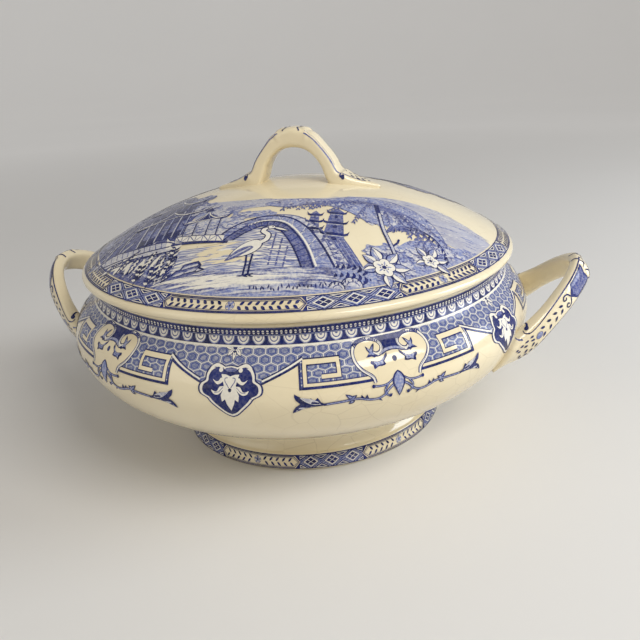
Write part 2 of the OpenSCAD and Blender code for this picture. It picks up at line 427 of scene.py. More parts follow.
# ---------------------------------------------------------------- printed layers
class Print:
    """Printed shapes on one surface, gathered into one piece of thin layers."""

    def __init__(self, name, place, pitch=2.5):
        self.name, self.place, self.pitch = name, place, pitch
        self.uv, self.lift, self.faces, self.tone = [], [], [], []
        self.change = np.asarray

    def through(self, change):
        """The same print, for points that change turns into its own."""
        view = copy.copy(self)
        view.change = change
        return view

    def beside(self, centre, side=1):
        """For points (degrees to one side of the azimuth centre, height)."""
        return self.through(lambda p: np.stack([2 * centre + side * 2 * p[:, 0], p[:, 1]], 1))

    def mirror(self, way):
        """For points whose u is measured towards one end."""
        return self.through(lambda p: p * [way, 1])

    def add(self, points, faces, tone, level):
        points, faces = np.asarray(points, float), np.asarray(faces, int).reshape(-1, 3)
        self.uv.append(points)
        self.lift.append(np.full(len(points), LIFT + LAYER * level))
        self.faces.append(faces)
        self.tone.append(np.full(len(faces), TONE_NAMES.index(tone)))

    def fill(self, outline, tone, level=0):
        """A filled outline, split finely enough to follow the surface."""
        outline = self.change(np.asarray(outline, float))
        edge = dense(np.vstack([outline, outline[:1]]), self.pitch)[:-1]
        low, high = edge.min(0), edge.max(0)
        n = len(edge)
        xs = np.arange(low[0] + self.pitch / 2, high[0], self.pitch)
        ys = np.arange(low[1] + self.pitch / 2, high[1], self.pitch)
        grid = np.stack([g.ravel() for g in np.meshgrid(xs, ys)], 1)
        if len(grid):
            grid = grid[inside(grid, edge)]
        points = [Vector(p) for p in np.vstack([edge, grid.reshape(-1, 2)])]
        loop = [(i, (i + 1) % n) for i in range(n)]
        made = delaunay_2d_cdt(points, loop, [list(range(n))], 1, 1e-4)
        self.add([tuple(p) for p in made[0]], [f for f in made[2] if len(f) == 3], tone, level)

    def dot(self, outline, tone, level=1):
        """A small convex shape, as a fan about its middle."""
        outline = self.change(np.asarray(outline, float))
        n = len(outline)
        fan = [(0, 1 + i, 1 + (i + 1) % n) for i in range(n)]
        self.add(np.vstack([outline.mean(0), outline]), fan, tone, level)

    def spot(self, x, y, rx, ry, tone, level=1, turn=0, n=12):
        self.dot(ellipse(x, y, rx, ry, turn, n), tone, level)

    def leaf(self, x, y, length, width, turn, tone, level=1, n=4):
        self.dot(leaf(x, y, length, width, turn, n), tone, level)

    def line(self, points, width, tone, level=1, closed=False, taper=False):
        """A line of the given width. A tapered line thins out to its far end."""
        p = self.change(np.asarray(points, float))
        if closed:
            p = np.vstack([p, p[:1]])
        p = dense(p, self.pitch)
        p = p[np.concatenate([[True], np.hypot(*np.diff(p, axis=0).T) > TINY])]
        n = len(p)
        step = np.diff(p, axis=0)
        step /= np.hypot(*step.T)[:, None]
        before = np.vstack([step[-1:] if closed else step[:1], step])
        after = np.vstack([step, step[:1] if closed else step[-1:]])
        way = before + after
        way /= np.maximum(np.hypot(*way.T), 1e-3)[:, None]
        miter = 1 / np.clip((way * after).sum(1), 0.5, 1)
        half = np.full(n, width / 2) * miter
        if taper:
            half *= 1 - 0.85 * np.linspace(0, 1, n) ** 1.5
        side = np.stack([-way[:, 1], way[:, 0]], 1) * half[:, None]
        i = np.arange(n - 1)
        faces = np.vstack([np.stack([i, i + 1, i + n + 1], 1), np.stack([i, i + n + 1, i + n], 1)])
        self.add(np.vstack([p - side, p + side]), faces, tone, level)

    def hoop(self, v, width, tone, level, spans=240):
        """A line all the way round, where u runs from 0 to 720."""
        turn = np.linspace(0, 720, spans + 1)
        self.line(np.stack([turn, np.full(spans + 1, v)], 1), width, tone, level)

    def rungs(self, starts, ends, width, tone, level):
        """A straight line from each start to its end."""
        for pair in zip(starts, ends):
            self.line(pair, width, tone, level)

    def build(self, body):
        uv, lift = np.vstack(self.uv), np.concatenate(self.lift)
        points, out = self.place(uv[:, 0], uv[:, 1], lift)
        first = np.cumsum([0] + [len(points) for points in self.uv[:-1]])
        faces = np.vstack([f + n for f, n in zip(self.faces, first)])
        tone = np.concatenate(self.tone)
        a, b, c = (points[faces[:, k]] for k in range(3))
        normal = np.cross(b - a, c - a)
        keep = np.linalg.norm(normal, axis=1) > 1e-7
        flip = (normal * out[faces[:, 0]]).sum(1) < 0
        faces[flip] = faces[flip][:, ::-1]
        faces, tone = faces[keep], tone[keep]
        piece = mesh_object(self.name, points, faces.tolist())
        used = sorted(set(tone.tolist()))
        for index in used:
            piece.data.materials.append(TONES[TONE_NAMES[index]])
        piece.data.polygons.foreach_set("material_index", [used.index(t) for t in tone])
        piece.data.normals_split_custom_set_from_vertices(out.tolist())
        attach(piece, body)
        return piece


def finish_piece(piece, material, body, slot, *nodes):
    piece.data.materials.append(material)
    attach(piece, body)
    if nodes:
        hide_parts(*nodes)
    return piece


# ---------------------------------------------------------------- bowl
BOWL_OUTSIDE = smooth([
    (WAIST_R, FOOT_H), (80, 24.8), (94, 31.2), (106.5, 40.3), (115.7, 51), (BELLY_R, BELLY_Z),
    (116.2, 75), (108.6, 82), (106, 87.5), (RIM_R, RIM_Z - 2)], 9)
BOWL_INSIDE = smooth([
    (MOUTH_R, 84), (101.5, 79.5), (110.5, 73), (BELLY_R - WALL, BELLY_Z), (110.6, 53.5),
    (101, 44), (88, 36.4), (70, 30.2), (40, 26.2), (0, 25)], 7)
BOWL = Profile(BOWL_OUTSIDE)


def make_bowl(cream):
    section = np.vstack([
        [(0, FOOT_H), (30, FOOT_H), (60, FOOT_H)],
        BOWL_OUTSIDE,
        arc(RIM_R - 2, RIM_Z - 2, 2, 0, 90, 6)[1:],
        arc(MOUTH_R + 1.5, RIM_Z - 1.5, 1.5, 90, 180, 6),
        BOWL_INSIDE])
    piece = turned("bowl", inset(section, SKIN))
    return finish_piece(piece, cream, "bowl", "printed_bowl", "bowl_body")


def both(points):
    """A closed outline from its right half, listed from top to bottom on the centre line."""
    p = np.asarray(points, float)
    left = p[::-1] * [-1, 1]
    return np.vstack([p, left[1:-1] if p[0, 0] == 0 else left[:-1]])


# Right halves of outlines, as (degrees from the centre line, height)
MEDALLION = smooth([
    (0, 77.8), (1.2, 77.6), (2.2, 78.3), (3.5, 78.2), (4.6, 76.9), (5.1, 74.9), (5.2, 72.9),
    (6.2, 71.5), (6.5, 69.5), (6.1, 67.5), (4.7, 66), (4.0, 64.2), (2.6, 61.3), (1.1, 58.3),
    (0, 57.2)], 3)
CARTOUCHE_EDGE = smooth([
    (4.7, 68.2), (5.1, 70.6), (7.0, 73.6), (8.2, 77), (8.1, 80), (6.8, 82.1), (4.7, 82.7),
    (2.8, 81.9), (1.9, 80.2), (2.3, 78.4), (3.3, 77.8), (4.1, 78.4)], 4)
KEY_TOP, KEY_FOOT = 78.2, 69.3
BAND_LINE = 83.2


def medallion(art, centre):
    """A shield with two volutes, and a leafy mask-like spray inside it."""
    shield = art.beside(centre)
    for level, (size, tone) in enumerate(((1, "dark"), (0.945, "white"), (0.86, "dark")), 4):
        shield.fill(scaled(both(MEDALLION), (0, 69.2), size), tone, level)
    spray = both([
        (0, 74.3), (0.9, 74.9), (1.8, 75), (1.5, 73.2), (1.2, 71.2), (1.35, 69.4), (1.8, 67.4),
        (1.6, 64.8), (0.95, 65.8), (0.7, 63.8), (0, 60.8)])
    shield.fill(spray, "white", 7)
    art.spot(2 * centre, 76.5, 2.5, 0.75, "mid", 7)
    shield.line([(-1.4, 77), (0, 77.35), (1.4, 77)], 0.35, "white", 8)
    shield.dot(both([(0, 70.2), (0.35, 69.8), (0.3, 69.0), (0, 68.6)]), "dark", 8)
    volute = smooth([(4.3, 75.6), (3.9, 77), (3.1, 77.7), (2.2, 77.4), (1.9, 76.6)], 4)
    upper = [(1.3, 72.8), (2.0, 71.6), (2.7, 71.5), (3.5, 73.2), (2.9, 72.5), (2.3, 72.6), (1.8, 73.8)]
    lower = [
        (1.1, 70.6), (1.7, 68.6), (2.5, 67.5), (3.3, 67.9), (3.7, 69.3), (3.0, 68.7), (2.5, 69),
        (2.0, 70.6)]
    brow = smooth([(0.5, 73.8), (1.0, 73.6), (0.95, 72.4), (0.5, 71.2), (0.2, 70.2)], 3)
    for side in (1, -1):
        half = art.beside(centre, side)
        half.line(volute, 0.9, "white", 7)
        art.spot(2 * centre + side * 4.0, 76.3, 0.85, 0.7, "white", 8)
        for wing in (upper, lower):
            half.fill(ring(wing, 3), "white", 8)
        half.line(brow, 0.3, "mid", 8)
        half.line([(1.35, 70.4), (2.2, 68.6), (3.1, 68.3)], 0.22, "mid", 9)


def daisy(art, u, z):
    """Half a flower, hanging from the band above it."""
    petals = [leaf(*polar(0, 0, 0.9, turn), 3.0, 1.3, turn) for turn in (-176, -137, -90, -43, -4)]
    for petal in petals:
        base = petal[0] + (petal[5] - petal[0]) * 0.5
        art.dot(scaled(petal, base, 1.3) + [u, z], "dark", 2)
    for petal in petals:
        art.dot(petal + [u, z], "white", 3)
        art.line(np.array([petal[0], petal[0] * 0.45 + petal[5] * 0.55]) + [u, z], 0.22, "soft", 4)
    heart = arc(u, z, 1.35, 180, 360, 8)
    art.dot(heart, "white", 4)
    art.dot(scaled(heart, (u, z), 0.72), "dark", 5)


def half_panel(art, centre, side):
    """From a medallion's middle to the next cartouche's, which is 32.5 degrees away."""
    half = art.beside(centre, side)
    low, high = KEY_FOOT, BAND_LINE
    half.fill([
        (0, high), (0, 70), (6.2, 71.9), (13.4, 78), (13.4, low), (28.4, low), (28.4, 77),
        (32.5, 77), (32.5, high)], "cells", 0)
    half.line([(6.0, 71.6), (13.4, 77.9), (13.4, low), (27.6, low)], 0.75, "dark", 2)
    half.line([(6.2, 73.0), (14.1, 79.5)], 0.95, "dark", 2)
    half.line([(6.2, 72.7), (14.1, 79.2)], 0.6, "white", 3)
    key = [(26.9, low + 1.1), (14.4, low + 1.1), (14.4, KEY_TOP), (21.0, KEY_TOP), (21.0, 73.2),
           (17.6, 73.2)]
    half.line(key, 2.2, "dark", 2)
    half.line(key, 1.4, "body", 3)
    half.line([(27.4, low + 0.45), (13.7, low + 0.45)], 0.5, "dark", 4)


TRIDENT_UP = smooth([
    (3.2, 77.5), (4.0, 78.3), (3.6, 79.6), (3.3, 81), (4.1, 80.2), (4.6, 79.5), (5.3, 80.5),
    (5.2, 79.2), (4.9, 78.4), (5.7, 77.3), (4.6, 77.4), (4.0, 76.9)], 2)
TRIDENT_LOW = smooth([
    (1.3, 77.9), (1.9, 77.2), (2.6, 76), (3.6, 75.6), (4.9, 76.1), (5.1, 75.2), (4.6, 74.5),
    (4.5, 73.1), (3.6, 73.9), (2.9, 73.8), (2.0, 74.2), (2.2, 75.4), (1.4, 76.8)], 2)
SPADE = both(smooth([
    (0, 71.4), (0.75, 70.3), (1.35, 68), (1.2, 65.6), (0.9, 64.4), (0.55, 62.6), (0, 60.4)], 3))


def half_cartouche(art, centre, side):
    """A cream heart between two volutes, with leaves inside it and a vine under it."""
    half = art.beside(centre, side)
    field = np.vstack([[(0, 66.4), (4.5, 66.4)], CARTOUCHE_EDGE[:37], [(1.2, 78.6), (0, 78.6)]])
    half.fill(field, "body", 4)
    neck = [(0, BAND_LINE), (4.4, BAND_LINE), (2.9, 82.3), (1.8, 80.9), (1.6, 79.2), (0, 79.2)]
    half.fill(neck, "dark", 3)
    half.line(CARTOUCHE_EDGE, 1.5, "dark", 6)
    half.line(CARTOUCHE_EDGE, 0.85, "white", 7)
    half.line(CARTOUCHE_EDGE[:40] * [0.965, 1] - [0, 0.15], 0.2, "mid", 8)
    for width, tone, level in ((1.35, "dark", 5), (0.7, "soft", 6)):
        half.line([(0, 78.9), (1.2, 78.7), (2.4, 78)], width, tone, level)
    for level, trident in ((8, TRIDENT_UP), (6, TRIDENT_LOW)):
        half.fill(trident, "dark", level)
        half.fill(scaled(trident, trident.mean(0), 0.62), "soft", level + 1)
    if side == 1:
        art.spot(2 * centre, 75.6, 1.0, 1.0, "dark", 6)
        half.fill(SPADE, "dark", 9)
        half.fill(scaled(SPADE, (0, 66.8), (0.72, 0.86)), "soft", 10)
    vine(half)


def vine(half):
    """A thorny stem that runs out from under the cartouche and ends in a fork."""
    stem = smooth([
        (1.0, 66.4), (2.2, 64.6), (3.0, 62.6), (4.4, 61.3), (6.2, 61.6), (8.4, 62.9), (11.4, 62.6),
        (15, 62.2)], 5)
    stub = smooth([(1.1, 68.4), (2.4, 66.9), (3.8, 66.6), (5.1, 66.9)], 4)
    hook = smooth([(2.2, 66.9), (2.9, 64.8), (2.7, 62.6), (1.9, 61.6), (1.7, 62.4)], 4)
    for widths, tone, level in (((0.95, 0.95, 1.15), "dark", 6), ((0.35, 0.35, 0.5), "soft", 7)):
        for path, width in zip((stub, hook, stem), widths):
            half.line(path, width, tone, level)
    half.spot(5.2, 66.9, 0.35, 0.75, "dark", 8)
    half.spot(1.9, 61.5, 0.34, 0.7, "dark", 8)
    for thorn in (((6.2, 61.9), (6.6, 64.2), (7.1, 62.6)), ((7.0, 62.3), (7.7, 64.4), (7.9, 62.9)),
                  ((3.9, 61.2), (3.5, 59.6), (4.5, 60.9))):
        half.dot(thorn, "dark", 7)
    for x, z, length, turn in ((9.2, 62.9, 4.2, 40), (9.0, 62.6, 3.0, -30), (10.0, 62.9, 3.4, 150)):
        shape = leaf(0, 0, length, 1.7, turn) * [0.5, 1] + [x, z]
        half.dot(shape, "dark", 7)
        half.dot(scaled(shape, shape.mean(0), 0.5), "soft", 8)
    fork = smooth([
        (14.4, 62.5), (15.4, 63.4), (16, 65.6), (16.6, 64.4), (17.3, 65.6), (17.7, 64.6), (18.4, 65),
        (20.3, 67.6), (20.1, 65), (19.3, 63.4), (20.2, 62.2), (20.9, 59.2), (18.9, 61), (16.6, 61.7),
        (14.4, 61.9)], 2)
    half.fill(fork, "dark", 8)
    half.dot(leaf(15.4, 62.5, 6.6, 2.0, 33, 5) * [0.7, 1] + [4.7, 0], "pale", 9)
    half.dot([(16.6, 62.1), (19.5, 61.8), (20.4, 59.9), (18.8, 61.2)], "pale", 9)


def scallops(art):
    """The dark band under the rim: hanging shells, a row of beads and thin lines."""
    low, high = BAND_LINE + 0.3, 90.4
    for a in range(0, 720, 24):
        art.fill([(a, low), (a + 24, low), (a + 24, high), (a, high)], "dark", 1)
    for height, width, tone in ((BAND_LINE, 0.8, "white"), (87.2, 0.22, "soft"), (90.3, 0.3, "mid")):
        art.hoop(height, width, tone, 3, 360)
    shells = 108
    for k in range(shells):
        u = 720 / shells * (k + 0.5)
        shell = np.vstack([[(u - 2.75, 86.9)], arc(u, 86.5, 2.75, 190, 350, 10), [(u + 2.75, 86.9)]])
        for level, (size, tone) in enumerate(zip(
                (1, 0.88, 0.68, 0.54, 0.22), ("soft", "white", "mid", "white", "mid")), 3):
            art.dot(scaled(shell, (u, 86.8), size), tone, level)
    for k in range(360):
        art.spot(2 * k, 88.45, 0.6, 0.82, "white", 3, n=8)
        art.spot(2 * k, 88.35, 0.18, 0.3, "soft", 4, n=6)


def make_bowl_print():
    ground = Print("bowl_print", BOWL.place, 1.2)
    scallops(ground)
    motifs = Print("bowl_print_motifs", BOWL.place, 1.2)
    for middle in (0, 180):
        for shift in (-65, 0, 65):
            medallion(motifs, middle + shift)
            daisy(ground, 2 * (middle + shift), BAND_LINE - 0.2)
            for side in (1, -1):
                half_panel(ground, middle + shift, side)
        for shift in (-32.5, 32.5):
            for side in (1, -1):
                half_cartouche(motifs, middle + shift, side)
    ground.build("bowl")
    motifs.build("bowl")


# ---------------------------------------------------------------- borders
def lattice_panel(art, u0, u1, v0, v1, count=3):
    """Crossing double strips with a split diamond in each gap, on a dark ground."""
    art.fill([(u0, v0), (u1, v0), (u1, v1), (u0, v1)], "dark", 1)
    step, middle, tall = (u1 - u0) / count, (v0 + v1) / 2, (v1 - v0) / 2
    for k in range(count):
        u = u0 + step * (k + 0.5)
        for size, tone, level in ((0.71, "white", 3), (0.56, "dark", 4)):
            w, h = step / 2 * size, tall * size * 1.12
            art.dot([(u - w, middle), (u, middle - h), (u + w, middle), (u, middle + h)], tone, level)
        w, h = step * 0.26, tall * 0.56
        for s in (1, -1):
            art.line([(u - w / 2, middle - s * h / 2), (u + w / 2, middle + s * h / 2)], 0.24, "white", 5)
    for k in range(count + 1):
        u = u0 + step * k
        left, right = max(u0, u - step / 2), min(u1, u + step / 2)
        for s in (1, -1):
            tip = middle + s * tall
            points = [(left, tip), (u, tip - s * tall * (u - left) / (step / 2)), (right, tip)]
            if k == 0:
                points = [(u, tip - s * tall), (right, tip)]
            if k == count:
                points = [(left, tip), (u, tip - s * tall)]
            art.line(points, 1.15, "soft", 2)
            art.line(points, 0.4, "dark", 3)
        for s in (1, -1):
            base = middle + s * (tall - 0.35)
            w = step * 0.26
            cap = [(max(u0, u - w), base), (min(u1, u + w), base), (u, base - s * tall * 0.42)]
            art.line(cap, 0.32, "white", 4, closed=True)


def leaf_panel(art, u0, u1, v0, v1, wide):
    """Two leafy sprigs that meet at a small flower, in a long six-sided frame."""
    middle, tall = (v0 + v1) / 2, (v1 - v0) / 2
    point, centre = tall * 0.8 * wide, (u0 + u1) / 2
    for gap, width in ((0.55, 0.42), (1.15, 0.2)):
        a, b, h = u0 + gap * wide, u1 - gap * wide, tall - gap
        art.line([
            (a, middle), (a + point, middle + h), (b - point, middle + h), (b, middle),
            (b - point, middle - h), (a + point, middle - h)], width, "dark", 2, closed=True)
    for s in (1, -1):
        for end, inward in ((u0, point), (u1, -point)):
            art.fill([(end, middle), (end, middle + s * tall), (end + inward, middle + s * tall)],
                     "dark", 1)
    step = 3.2 * wide
    along, rise = 2.13 * wide, (tall - 1.3) * 0.98
    length, lean = math.hypot(along, rise), math.degrees(math.atan2(rise, along))
    reach = (u1 - u0) / 2 - point - step - 0.2
    count = max(2, round(reach / step))
    for side in (1, -1):
        for k in range(count):
            u = centre + side * (step + reach / count * k)
            for s in (1, -1):
                turn = lean * s if side > 0 else 180 - lean * s
                shift = side * (0.9 * wide if s < 0 else 0)
                art.leaf(u + shift, middle + 0.22 * s, length, 1.35, turn, "dark", 3)
    for k in range(5):
        turn = 90 + 72 * k
        petal = ellipse(*polar(0, 0, 1.15, turn), 0.85, 0.62, turn, 8)
        art.dot(petal * [wide, 1] + [centre, middle], "soft", 2 + k % 2)
    art.line(ellipse(centre, middle, 1.95 * wide, 1.95), 0.2, "mid", 4, closed=True)
    art.spot(centre, middle, 0.5 * wide, 0.5, "dark", 5, n=6)


def border(art, centres, half, v0, v1, wide=1.0):
    """Lattice panels about the given azimuths, and leaf panels, drawn wide, between them."""
    for a, b in zip(centres, centres[1:] + [centres[0] + 360]):
        lattice_panel(art, 2 * (a - half), 2 * (a + half), v0, v1)
        leaf_panel(art, 2 * (a + half), 2 * (b - half), v0, v1, wide)
    art.hoop(v0, 0.4, "dark", 6)
    art.hoop(v1, 0.45, "dark", 6)


# ---------------------------------------------------------------- foot
FOOT_OUTSIDE = np.vstack([
    arc(FOOT_R - 1.2, 1.2, 1.2, -90, 0, 6),
    smooth([
        (FOOT_R - 1.2, FOOT_BAND), (FOOT_R - 2.8, FOOT_BAND + 1), (WAIST_R + 0.6, FOOT_BAND + 4.4),
        (WAIST_R, FOOT_H)], 6)])
FOOT = Profile(FOOT_OUTSIDE[1:])


def make_foot(cream):
    section = np.vstack([FOOT_OUTSIDE, [(61, FOOT_H), (63.5, 1.5), (FOOT_IN, 0), (FOOT_R - 1.2, 0)]])
    piece = turned("foot", section - [SKIN * 0.8, 0] * (section[:, :1] > 66))
    return finish_piece(piece, cream, "bowl", "printed_foot", "foot_ring")


def make_foot_print():
    art = Print("foot_print", FOOT.place, 2.0)
    border(art, [-39.5 + 60 * k for k in range(6)], 12.5, 1.3, 8.2, 1.5)
    art.hoop(8.7, 0.5, "mid", 2)
    for k in range(150):
        length = 1.4 + 1.6 * abs(math.sin(k * 1.7))
        art.line([(4.8 * k, 17.6), (4.8 * k + length, 17.75)], 0.3, "soft", 1)
    art.build("bowl")


# ---------------------------------------------------------------- strap handles
class Strap:
    """A handle's strap. u runs along it from its apex, v across it and round its edges, in mm."""

    def __init__(self, stations, corner, turn=1):
        s = smooth(stations, 12)
        self.corner = corner
        self.middle = s[:, :3] * [turn, turn, 1]
        after = np.vstack([self.middle[1:], self.middle[-1:]])
        before = np.vstack([self.middle[:1], self.middle[:-1]])
        way = after - before
        way /= np.linalg.norm(way, axis=1)[:, None]
        self.side = np.cross(way, s[:, 3:6] * [turn, turn, 1])
        self.side /= np.linalg.norm(self.side, axis=1)[:, None]
        self.out = np.cross(self.side, way)
        self.half = np.maximum(s[:, 6:8] / 2 - SKIN, 0.4)
        reach = np.concatenate([[0], np.cumsum(np.linalg.norm(np.diff(self.middle, axis=0), axis=1))])
        self.along = reach - reach[len(s) // 2]

    def at(self, values, u):
        return np.stack([np.interp(u, self.along, column) for column in values.T], 1)

    def section(self, across, up, u, lift):
        """Points and normals at shares across and up of the half width and half thickness."""
        half = self.at(self.half, u)
        side, out = self.at(self.side, u), self.at(self.out, u)
        power = 2 / self.corner - 1
        lean = [np.sign(q) * np.abs(q) ** power / h for q, h in zip((across, up), half.T)]
        normal = side * lean[0][:, None] + out * lean[1][:, None]
        normal /= np.linalg.norm(normal, axis=1)[:, None]
        sideways = side * (across * half[:, 0])[:, None]
        outwards = out * (up * half[:, 1])[:, None]
        on = self.at(self.middle, u) + sideways + outwards
        return on + normal * np.asarray(lift)[:, None], normal

    def place(self, u, v, lift):
        half = self.at(self.half, u)
        edge = 2 ** (-self.corner / 2)
        flat = np.abs(v) <= edge * half[:, 0]
        down = np.clip(edge - (np.abs(v) - edge * half[:, 0]) / half[:, 1], -1, 1)
        power = 2 / self.corner
        across = np.where(flat, v / half[:, 0], np.sign(v) * (1 - np.abs(down) ** power) ** (1 / power))
        up = np.where(flat, (1 - np.minimum(1, np.abs(across)) ** power) ** (1 / power), down)
        ridge = self.moulding(u, v) * np.clip(up, 0, 1)
        return self.section(across, up, u, lift + ridge)

    def moulding(self, u, v):
        """A low leaf folded over the apex: two chevron ridges, each with a groove behind it."""
        bend = np.abs(u) - 0.45 * np.abs(v)
        return 0.55 * np.exp(-((bend - 3.4) / 0.8) ** 2) - 0.35 * np.exp(-((bend - 5.2) / 0.9) ** 2)

    def mesh(self, name, sides=56):
        angle = 2 * math.pi * (np.arange(sides) + 0.5) / sides
        c, s = np.cos(angle), np.sin(angle)
        across, up = (np.sign(q) * np.abs(q) ** self.corner for q in (c, s))
        count = len(self.along)
        rows = []
        for u in self.along:
            us = np.full(sides, u)
            half = self.at(self.half, us)
            ridge = self.moulding(us, across * half[:, 0]) * np.clip(up, 0, 1)
            rows.append(self.section(across, up, us, ridge)[0])
        points = np.vstack(rows)
        faces = []
        for i in range(count - 1):
            for k in range(sides):
                j = (k + 1) % sides
                faces.append((i * sides + k, (i + 1) * sides + k, (i + 1) * sides + j, i * sides + j))
        for first, step in ((0, 1), ((count - 1) * sides, -1)):
            tip = len(points)
            points = np.vstack([points, points[first:first + sides].mean(0)])
            for k in range(sides):
                edge = [first + k, first + (k + 1) % sides]
                faces.append((tip, *edge[::step]))
        return mesh_object(name, points, faces)


def mirrored_arm(arm, top, flip):
    return [tuple(np.multiply(s, flip)) for s in arm[::-1]] + [top] + list(arm)


# Each station is the strap's middle x, y, z, the way its face looks, its width and its thickness.
SIDE_TOP = (145, 0, 84.4, 0.81, 0, 0.59, 12.8, 7.2)
SIDE_ARM = (
    (143.6, 8, 83.2, 0.80, 0.30, 0.50, 12.6, 7.2), (140.2, 16, 80, 0.76, 0.54, 0.34, 12.4, 7.4),
    (134.8, 24, 75, 0.72, 0.64, 0.24, 12.2, 8), (127.4, 31.4, 68, 0.76, 0.62, 0.15, 12.4, 8),
    (118.2, 38, 60, 0.82, 0.56, 0, 14.8, 8.4), (110.6, 42, 54.6, 0.88, 0.42, -0.22, 16.2, 8),
    (106, 45.4, 50.4, 0.80, 0.38, -0.46, 7.8, 5), (101.8, 47.6, 46.4, 0.72, 0.36, -0.58, 2, 2.4))
KNOB_MID = 151.9
KNOB_TOP = (0, 0, KNOB_MID, 0, 0, 1, 15, 10.6)
KNOB_ARM = (
    (7, 0, KNOB_MID - 1.7, 0.34, 0, 0.94, 15, 9.6), (12.6, 0, KNOB_MID - 6.4, 0.64, 0, 0.77, 15.4, 7.6),
    (17, 0, KNOB_MID - 12.2, 0.80, 0, 0.60, 16.2, 7.6),
    (19.8, 0, KNOB_MID - 18.4, 0.90, 0, 0.44, 17.4, 8.4),
    (23.2, 0, KNOB_MID - 22, 0.66, 0, 0.75, 17.6, 11),
    (29.6, 0, KNOB_MID - 24, 0.44, 0, 0.90, 14.4, 8.4),
    (36.6, 0, KNOB_MID - 25.2, 0.30, 0, 0.95, 9, 5.6), (42.2, 0, 126, 0.24, 0, 0.97, 4.4, 3.2),
    (43, 0, 125.8, 0.24, 0, 0.97, 2, 1.4))


def comma(half, u, v, size, turn):
    """A fat comma with a curled tail."""
    tail = smooth([(0, 0), (1.2, 0.5), (1.9, 1.5), (1.7, 2.6)], 4) * size
    half.line(swing(u, v, *tail.T, turn), 1.1 * size, "dark", 4, taper=True)
    half.spot(u, v, size, size * 0.85, "dark", 3)


def sprig(half, u0, u1, spread, size):
    """Pairs of leaves along a hidden stem, from u0 to u1, spread apart by their last pair."""
    count = max(2, round((u1 - u0) / 3.4))
    for k in range(count):
        share = k / (count - 1)
        u = u0 + (u1 - u0) * share
        rise = 0.5 + spread * share
        for s, shift in ((1, 0.8), (-1, 0)):
            half.leaf(u + shift, s * rise, size, size * 0.48, s * 34, "dark", 3)


def print_side_handle(name, strap):
    """A solid panel below the apex, volutes, leaf sprigs and a fine line on each edge."""
    art = Print(name, strap.place, 1.2)
    for way in (1, -1):
        half = art.mirror(way)
        half.fill([(7.6, -4.4), (22.6, -4.3), (26.6, 0), (22.6, 4.3), (7.6, 4.4), (9.4, 0)], "dark", 1)
        half.fill([(9.4, -3.6), (21.8, -3.5), (24.6, 0), (21.8, 3.5), (9.4, 3.6), (10.8, 0)], "mid", 2)
        for s in (1, -1):
            for steps, width, tone, points in (
                    (8, 0.42, "dark", [
                        (1.6, 4.9), (20, 4.9), (40, 4.7), (49, 4.8), (53.4, 5.4), (55.8, 6.8),
                        (55.6, 8.6)]),
                    (4, 0.7, "dark", [
                        (26.4, 0.4), (27.6, 2.6), (29.8, 3.2), (31, 1.9), (29.6, 1.1), (28.8, 1.9)]),
                    (4, 0.6, "dark", [(5.6, 0.6), (4.6, 2.4), (5.4, 4.6)]),
                    (4, 0.5, "dark", [(2.2, 1.4), (1.4, 3.2), (2.0, 4.9)]),
                    (4, 0.9, "dark", [(4.8, 4.4), (4.0, 6.6), (4.9, 8.8)]),
                    (4, 0.5, "mid", [(58.6, 6.2), (60.4, 7.6), (60.8, 9.4)])):
                half.line(smooth(points, steps) * [1, s], width, tone, 3)
            for k in range(4):
                half.leaf(53 + 3.2 * k, s * (2.9 + 0.3 * k), 2.5, 1.2, s * 20, "dark", 3)
        sprig(half, 32.6, 46, 0.7, 3.0)
        half.spot(50.4, 0, 1.9, 1.6, "soft", 3)
        half.line(ellipse(50.4, 0, 2.0, 1.7), 0.3, "mid", 4, closed=True)
        sprig(half, 53.4, 62, 0.9, 2.7)
        comma(half, 53.4, -8.0, 1.3, 190)
    art.build("bowl")


def print_lid_handle(name, strap):
    """Fine edge lines over the arch, and leaf sprigs and commas on the two pointed feet."""
    art = Print(name, strap.place, 1.2)
    for way in (1, -1):
        half = art.mirror(way)
        for s in (1, -1):
            edge = smooth([(5.6, 6.7), (14, 6.6), (24, 7), (31, 7), (38, 5.6), (46, 3.4)], 8) * [1, s]
            half.line(edge, 0.5, "mid", 2)
            half.line(edge[:18] * [1, 0.84], 0.25, "soft", 2)
            comma(half, 35.0, 8.0 * s, 1.35, 150 * s)
            half.line(smooth([(3.0, 1.0 * s), (2.2, 3.6 * s), (3.4, 6.4 * s)], 4), 0.6, "dark", 3)
            for u, v in ((38.4, 3.1), (41.6, 2.6), (44.8, 1.9)):
                half.leaf(u, v * s, 2.8, 1.2, 20 * s, "dark", 3)
        for u in (33.4, 36.8, 40.2, 43.6):
            half.leaf(u, 0.3, 2.3, 1.0, 0, "dark", 3)
        half.spot(48.4, 0, 0.9, 0.6, "dark", 3)
    art.build("lid")


def make_handles(cream):
    for name, turn in (("handle_right", 1), ("handle_left", -1)):
        strap = Strap(mirrored_arm(SIDE_ARM, SIDE_TOP, (1, -1, 1, 1, -1, 1, 1, 1)), 0.65, turn)
        finish_piece(strap.mesh("strap_" + name[7:]), cream, "bowl", "printed_handle", name)
        print_side_handle(name + "_print", strap)
    strap = Strap(mirrored_arm(KNOB_ARM, KNOB_TOP, (-1, 1, 1, -1, 1, 1, 1, 1)), 0.5)
    finish_piece(strap.mesh("strap_lid"), cream, "lid", "printed_handle", "lid_handle")
    print_lid_handle("lid_handle_print", strap)


